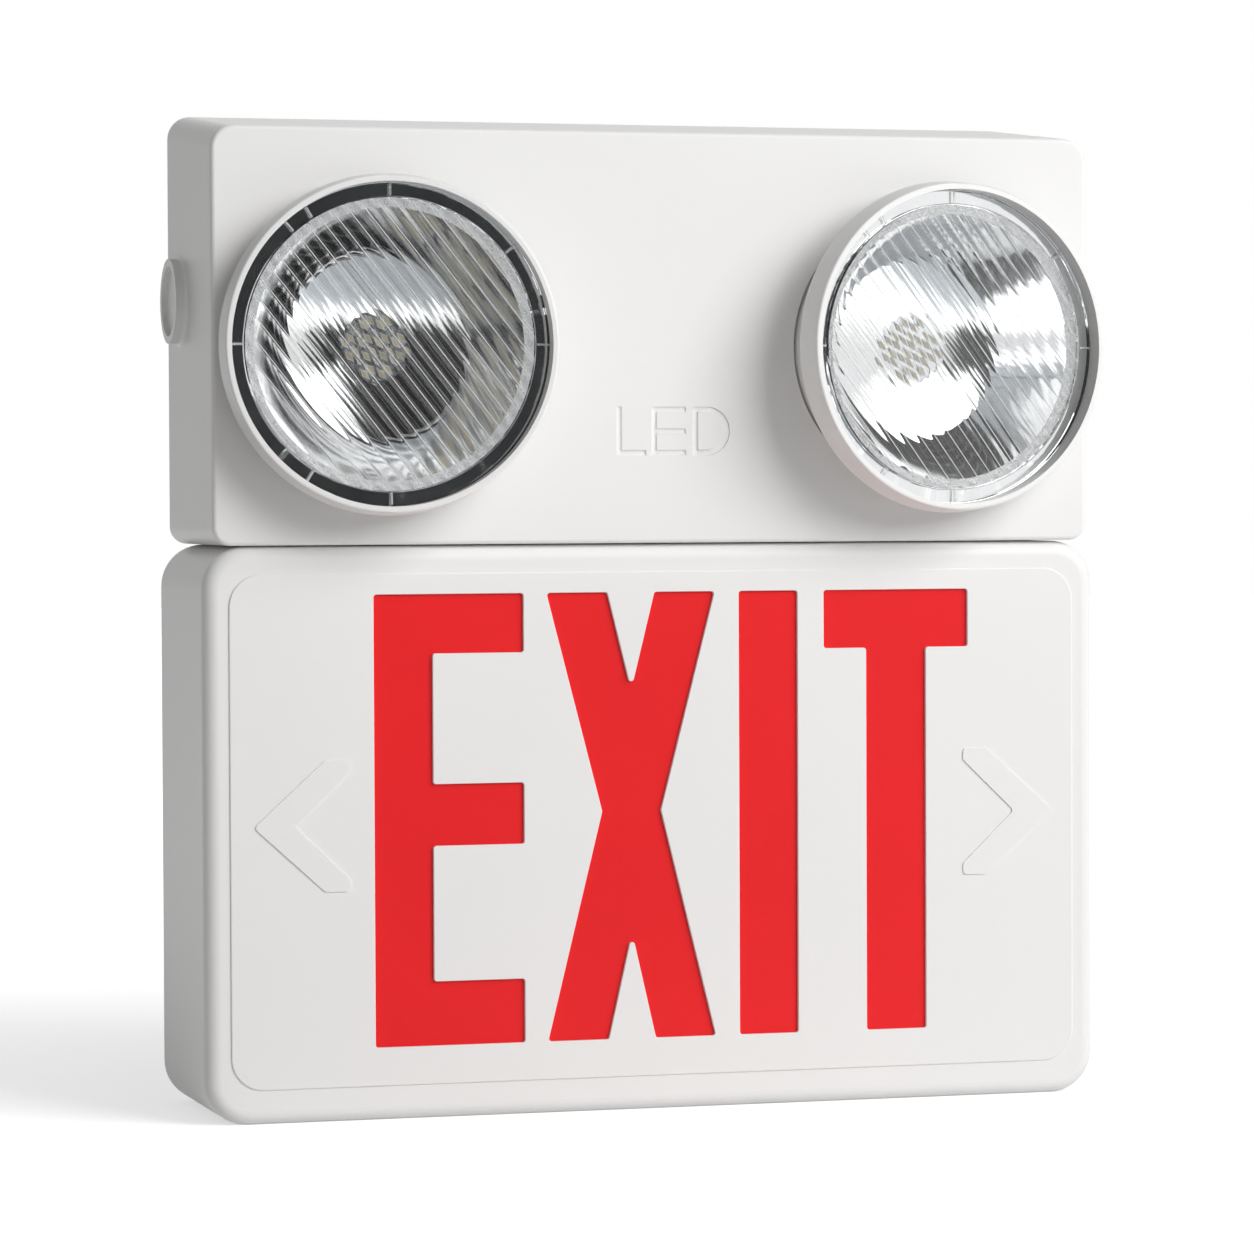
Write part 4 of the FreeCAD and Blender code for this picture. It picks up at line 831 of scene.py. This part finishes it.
def flute_rib(settings, across, reach, crown):
    """Thin round rod spun about the far centre of the dome's curve."""
    drop = settings.dome_rise * (across / settings.dome_radius) ** 2
    curve = settings.dome_radius ** 2 / (2 * settings.dome_rise)
    height = crown - drop + PIECE_GAP + settings.rib / 2
    turn = math.asin(reach / curve)
    centre = Vector((across, curve - height, 0))
    start = centre + Vector((0, -curve * math.cos(turn), -curve * math.sin(turn)))
    deselect_all()
    bpy.ops.mesh.primitive_circle_add(
        vertices=RIB_SIDES, radius=settings.rib / 2, fill_type="NGON", location=start,
        rotation=(-turn, 0, 0),
    )
    rod = bpy.context.object
    settle(rod)
    bpy.ops.object.mode_set(mode="EDIT")
    bpy.ops.mesh.select_all(action="SELECT")
    bpy.ops.mesh.spin(steps=RIB_STEPS, angle=2 * turn, center=centre, axis=(1, 0, 0))
    bpy.ops.object.mode_set(mode="OBJECT")
    close_up(rod)
    return rod


def scoops(settings, back):
    """Row of round bars that scoop the flutes, with a flat land left between each two."""
    pitch = 2 * settings.dome_radius / settings.flutes
    half = (pitch - settings.land) / 2
    depth = settings.flute_depth
    bar_radius = (half ** 2 + depth ** 2) / (2 * depth)
    deselect_all()
    bpy.ops.mesh.primitive_cylinder_add(
        vertices=SCOOP_SEGMENTS, radius=bar_radius, depth=SCOOP_LENGTH * settings.dome_radius,
        location=(pitch / 2 - settings.dome_radius, bar_radius - depth - back, 0),
    )
    bars = bpy.context.object
    settle(bars)
    apply_modifier(
        bars, "ARRAY", count=settings.flutes, use_relative_offset=False, use_constant_offset=True,
        constant_offset_displace=(pitch, 0, 0),
    )
    bars.rotation_euler = (0, settings.flute_angle - math.pi / 2, 0)
    settle(bars)
    return bars


def tabbed_flange(settings, back, radius):
    """Flat ring round the dome, with small ribs across it."""
    inner = settings.dome_radius + PIECE_GAP
    face = back + settings.flange_thickness
    shoulder = face - FLANGE_CHAMFER
    flange = lathed("Flange", [
        (back, inner), (shoulder, inner), (face, inner + FLANGE_CHAMFER),
        (face, radius - FLANGE_CHAMFER), (shoulder, radius), (back, radius), (back, inner),
    ], DOME_SEGMENTS)
    close_up(flange)
    smooth(flange)
    finish_with(flange, finish("clear_lens"))
    turns = [Matrix.Rotation(-math.radians(angle), 4, "Y") for angle in TAB_ANGLES]
    return joined([flange, copies(tab(inner, radius, face), turns, "Tabs")], "Flange")


def tab(inner, outer, face):
    """Small moulded rib across the flange's right side."""
    length = TAB_SHARE * (outer - inner)
    deselect_all()
    bpy.ops.mesh.primitive_cube_add(
        size=1, location=((inner + outer) / 2, PIECE_GAP - face - TAB_PROUD / 2, 0),
        scale=(length, TAB_PROUD - PIECE_GAP, TAB_WIDTH),
    )
    piece = bpy.context.object
    settle(piece)
    apply_modifier(piece, "BEVEL", width=TAB_ROUND, segments=2)
    finish_with(piece, finish("tab_lens"))
    return piece


# ---- Reflectors ---------------------------------------------------------------------------------
class EXITLIGHT_OT_reflectors(bpy.types.Operator):
    """Metallised reflector of each head: flange, crinkled lip, bowl and dished base"""
    bl_idname = "exit_light.reflectors"
    bl_label = "Reflectors"

    def execute(self, context):
        settings = context.scene.exit_reflector
        back, front, radius = stations_of("left_reflector", "left")
        pattern = joined([
            bright_bowl(settings, back, front - LIP_DEPTH), crinkled_lip(settings, front, radius),
        ], "Reflector pattern")
        place_in_heads(pattern, "_reflector_bright", "_reflector")
        return {"FINISHED"}


LIP_DEPTH = 1.65 * MM
LIP_WIDTH = 3.2 * MM
LIP_ROWS = 8
LIP_CRINKLES = 150
LIP_UNEVEN = 0.14 * MM
LIP_MARGIN = 0.1 * MM
BOWL_STEPS = 16
DISH_STEPS = 8


def bright_bowl(settings, back, mouth):
    """Curved bowl with a shallow dish for its base, and the chips' window in the middle."""
    base = back + settings.wall
    square = settings.base_radius ** 2
    edge_share = settings.dish / (mouth - base)
    stations = []
    for i in range(BOWL_STEPS + 1):
        share = 1 - (1 - edge_share) * i / BOWL_STEPS
        reach = math.sqrt(square + (settings.mouth_radius ** 2 - square) * share)
        stations.append((base + (mouth - base) * share, reach))
    window = settings.window_radius
    edge = stations[-1][1]
    for i in range(1, DISH_STEPS + 1):
        radius = edge + (window - edge) * i / DISH_STEPS
        share = (radius ** 2 - window ** 2) / (edge ** 2 - window ** 2)
        stations.append((base + settings.dish * share, radius))
    bowl = lathed("Bowl", stations, DOME_SEGMENTS)
    smooth(bowl, 30)
    finish_with(bowl, finish("mirror_finish"))
    return bowl


def crinkled_lip(settings, front, radius):
    """Flat flange and the sloping lip inside it, crinkled in small uneven facets."""
    outer = settings.mouth_radius + LIP_WIDTH
    stations = [(front, radius)]
    for i in range(LIP_ROWS + 1):
        share = i / LIP_ROWS
        stations.append((front - LIP_DEPTH * share, outer - LIP_WIDTH * share))
    lip = lathed("Lip", stations, LIP_CRINKLES)
    drop_selection(lip)
    for vertex in lip.data.vertices:
        reach = math.hypot(vertex.co.x, vertex.co.z)
        vertex.select = settings.mouth_radius + LIP_MARGIN < reach < outer + LIP_MARGIN
    bpy.ops.object.mode_set(mode="EDIT")
    bpy.ops.transform.vertex_random(offset=LIP_UNEVEN, seed=7)
    bpy.ops.object.mode_set(mode="OBJECT")
    finish_with(lip, finish("crinkled_lip"), finish("mirror_finish"))
    for face in lip.data.polygons:
        if math.hypot(face.center.x, face.center.z) > outer:
            face.material_index = 1
    return lip


# ---- Chips --------------------------------------------------------------------------------------
class EXITLIGHT_OT_chips(bpy.types.Operator):
    """Light-emitting chips of each head: white package with a phosphor window"""
    bl_idname = "exit_light.chips"
    bl_label = "Chips"

    def execute(self, context):
        back, front, _ = stations_of("left_leds", "left")
        pattern = copies(chip(back, front), chip_places(), "Chip pattern")
        place_in_heads(pattern, "_chips", "_leds")
        return {"FINISHED"}


CHIP = 3.5 * MM
CHIP_PITCH = 5.5 * MM
CHIP_ROWS = 4
CHIP_FRAME = 0.45 * MM
CHIP_RECESS = 0.12 * MM


def chip_places():
    """Square grid without its corners."""
    last = CHIP_ROWS - 1
    return [
        Matrix.Translation(((column - last / 2) * CHIP_PITCH, 0, (row - last / 2) * CHIP_PITCH))
        for column in range(CHIP_ROWS) for row in range(CHIP_ROWS)
        if not (column in (0, last) and row in (0, last))
    ]


def chip(back, front):
    """Package whose front is inset, recessed and filled with phosphor."""
    deselect_all()
    bpy.ops.mesh.primitive_cube_add(
        size=1, location=(0, -(back + front) / 2, 0), scale=(CHIP, front - back, CHIP)
    )
    piece = bpy.context.object
    settle(piece)
    finish_with(piece, finish("chip_package"), finish("phosphor"))
    drop_selection(piece)
    for face in piece.data.polygons:
        face.select = face.normal.y < -0.9
    bpy.ops.object.mode_set(mode="EDIT")
    bpy.ops.mesh.select_mode(type="FACE")
    bpy.ops.mesh.inset(thickness=CHIP_FRAME)
    bpy.ops.transform.translate(value=(0, CHIP_RECESS, 0))
    piece.active_material_index = 1
    bpy.ops.object.material_slot_assign()
    bpy.ops.object.mode_set(mode="OBJECT")
    return piece


# ---- Studio -------------------------------------------------------------------------------------
class EXITLIGHT_OT_stage(bpy.types.Operator):
    """Floor, soft light, room and camera"""
    bl_idname = "exit_light.stage"
    bl_label = "Studio"

    def execute(self, context):
        settings = context.scene.exit_studio
        make_floor(settings)
        make_room(settings)
        make_lights(settings)
        make_camera(context.scene)
        return {"FINISHED"}


def seen_directly(tree):
    """1 for camera, glossy and transmission rays, and 0 for the rays that light other surfaces."""
    path = tree.nodes.new("ShaderNodeLightPath")
    total = path.outputs["Is Camera Ray"]
    for name in ("Is Glossy Ray", "Is Transmission Ray"):
        node = tree.nodes.new("ShaderNodeMath")
        node.operation = "MAXIMUM"
        tree.links.new(total, node.inputs[0])
        tree.links.new(path.outputs[name], node.inputs[1])
        total = node.outputs["Value"]
    return total


FLOOR_SIZE = 14
GLOW_STARTS = 0.15
GLOW_FULL = 0.9


def make_floor(settings):
    """White paper floor that glows more with distance, so that it melts into the room."""
    deselect_all()
    bpy.ops.mesh.primitive_plane_add(size=FLOOR_SIZE)
    floor = bpy.context.object
    floor.name = "Floor"
    material, place = new_material("Floor paper", Roughness=0.9, IOR=1.2)
    paper = noise(material, place, 3.0)
    tint(material, paper, (0.80, 0.80, 0.80), (0.81, 0.81, 0.81))
    tree = material.node_tree
    shader = tree.nodes["Principled BSDF"]
    shader.inputs["Emission Color"].default_value = (1, 1, 1, 1)
    away = tree.nodes.new("ShaderNodeVectorMath")
    away.operation = "LENGTH"
    tree.links.new(place, away.inputs[0])
    glow = tree.nodes.new("ShaderNodeMapRange")
    glow.inputs["From Min"].default_value = GLOW_STARTS
    glow.inputs["From Max"].default_value = GLOW_FULL
    glow.inputs["To Min"].default_value = settings.floor_glow
    tree.links.new(away.outputs["Value"], glow.inputs["Value"])
    seen = tree.nodes.new("ShaderNodeMath")
    seen.operation = "MULTIPLY"
    tree.links.new(glow.outputs["Result"], seen.inputs[0])
    tree.links.new(seen_directly(tree), seen.inputs[1])
    tree.links.new(seen.outputs["Value"], shader.inputs["Emission Strength"])
    finish_with(floor, material)


def make_room(settings):
    """White room that lights the object less than it looks."""
    world = bpy.data.worlds.new("Room")
    bpy.context.scene.world = world
    world.use_nodes = True
    tree = world.node_tree
    background = tree.nodes["Background"]
    background.inputs["Color"].default_value = (1, 1, 1, 1)
    level = tree.nodes.new("ShaderNodeMapRange")
    level.inputs["To Min"].default_value = settings.ambient
    tree.links.new(seen_directly(tree), level.inputs["Value"])
    tree.links.new(level.outputs["Result"], background.inputs["Strength"])


def aimed(place, target):
    return (Vector(target) - Vector(place)).to_track_quat("-Z", "Y").to_euler()


def key_light(size, place, target, power):
    """Large soft light that lights surfaces, but isn't itself seen in mirrors or through lenses."""
    deselect_all()
    bpy.ops.object.light_add(type="AREA", location=place, rotation=aimed(place, target))
    light = bpy.context.object
    light.name = "Key"
    light.data.shape = "RECTANGLE"
    light.data.size, light.data.size_y = size
    light.data.energy = power
    light.visible_glossy = False
    light.visible_transmission = False


def card(name, size, place, target, level, glow=0):
    """Studio card that only mirrors and clear pieces show."""
    deselect_all()
    bpy.ops.mesh.primitive_plane_add(size=1, location=place, rotation=aimed(place, target))
    sheet = bpy.context.object
    sheet.name = name
    sheet.scale = (*size, 1)
    sheet.visible_camera = False
    sheet.visible_diffuse = False
    sheet.visible_shadow = False
    material, coords = new_material(
        name + " cloth", Roughness=0.9, Emission_Color=(1, 1, 1), Emission_Strength=glow
    )
    weave = noise(material, coords, 12.0)
    tint(material, weave, shade(CARD_CLOTH, 0.8 * level), shade(CARD_CLOTH, 1.2 * level))
    finish_with(sheet, material)


CARD_CLOTH = (0.90, 0.95, 1.0)
AIM = (0, 0, 0.2)
KEY_SIZE = (1.69, 1.43)
KEY_PLACE = (1.235, -1.755, 1.305)
KEY_FACE_PLACE = (1.234, -1.753, 1.304)
KEY_FACE_LEVEL = 0.5
DARK_SIZE = (2.43, 2.76)
DARK_PLACE = (-0.105, -2.5, 1.25)
DARK_AIM = (-0.105, 0, 1.25)
DARK_LEVEL = 0.03
GREY_SIZE = (1.5, 0.95)
GREY_PLACE = (-0.1, -0.9, 0.01)
GREY_AIM = (-0.1, -0.9, 1)
GREY_LEVEL = 0.62


def make_lights(settings):
    """The light, its dimmer face for the mirrors, a dark card in front and a grey one below."""
    key_light(KEY_SIZE, KEY_PLACE, AIM, settings.key_power)
    card("Key face", KEY_SIZE, KEY_FACE_PLACE, AIM, KEY_FACE_LEVEL, settings.key_face)
    card("Front flag", DARK_SIZE, DARK_PLACE, DARK_AIM, DARK_LEVEL)
    card("Floor card", GREY_SIZE, GREY_PLACE, GREY_AIM, GREY_LEVEL)


CAMERA_PLACE = (-0.47465, -1.62755, 0.21257)
CAMERA_YAW = -16.224
CAMERA_DROP = 1.638
CAMERA_ROLL = -0.229
CAMERA_LENS = 139.66
CAMERA_SENSOR = 36


def make_camera(scene):
    """Camera a little left of the middle, turned to the right and tilted slightly down."""
    data = bpy.data.cameras.new("Camera")
    camera = bpy.data.objects.new("Camera", data)
    scene.collection.objects.link(camera)
    scene.camera = camera
    data.sensor_width = CAMERA_SENSOR
    data.lens = CAMERA_LENS
    data.clip_start = 0.1
    data.clip_end = 50
    place = Matrix.Translation(CAMERA_PLACE)
    yaw = Matrix.Rotation(math.radians(CAMERA_YAW), 4, "Z")
    pitch = Matrix.Rotation(math.radians(90 - CAMERA_DROP), 4, "X")
    roll = Matrix.Rotation(math.radians(CAMERA_ROLL), 4, "Z")
    camera.matrix_world = place @ yaw @ pitch @ roll
    scene.view_settings.view_transform = "Standard"


# ---- Panel and registration -----------------------------------------------------------------------
OPERATORS = (
    EXITLIGHT_OT_finishes,
    EXITLIGHT_OT_lettering,
    EXITLIGHT_OT_reflectors,
    EXITLIGHT_OT_chips,
    EXITLIGHT_OT_lenses,
    EXITLIGHT_OT_screws,
    EXITLIGHT_OT_stage,
)
SETTINGS = {
    "exit_housing": HousingSettings,
    "exit_legend": LegendSettings,
    "exit_lamp": LampSettings,
    "exit_lens": LensSettings,
    "exit_reflector": ReflectorSettings,
    "exit_studio": StudioSettings,
}


class EXITLIGHT_PT_panel(bpy.types.Panel):
    """Buttons and settings of the exit light"""
    bl_idname = "EXITLIGHT_PT_panel"
    bl_label = "Exit Light"
    bl_space_type = "VIEW_3D"
    bl_region_type = "UI"
    bl_category = "Exit Light"

    def draw(self, context):
        for operator in OPERATORS:
            self.layout.operator(operator.bl_idname)
        for name, group in SETTINGS.items():
            column = self.layout.column()
            for key in group.__annotations__:
                column.prop(getattr(context.scene, name), key)


CLASSES = (*SETTINGS.values(), *OPERATORS, EXITLIGHT_PT_panel)


def register():
    for item in CLASSES:
        bpy.utils.register_class(item)
    for name, group in SETTINGS.items():
        setattr(bpy.types.Scene, name, bpy.props.PointerProperty(type=group))


def unregister():
    for name in SETTINGS:
        delattr(bpy.types.Scene, name)
    for item in reversed(CLASSES):
        bpy.utils.unregister_class(item)


def main():
    register()
    bpy.ops.exit_light.finishes()
    bpy.ops.exit_light.lettering()
    bpy.ops.exit_light.reflectors()
    bpy.ops.exit_light.chips()
    bpy.ops.exit_light.lenses()
    bpy.ops.exit_light.screws()
    bpy.ops.exit_light.stage()


if __name__ == "__main__":
    main()
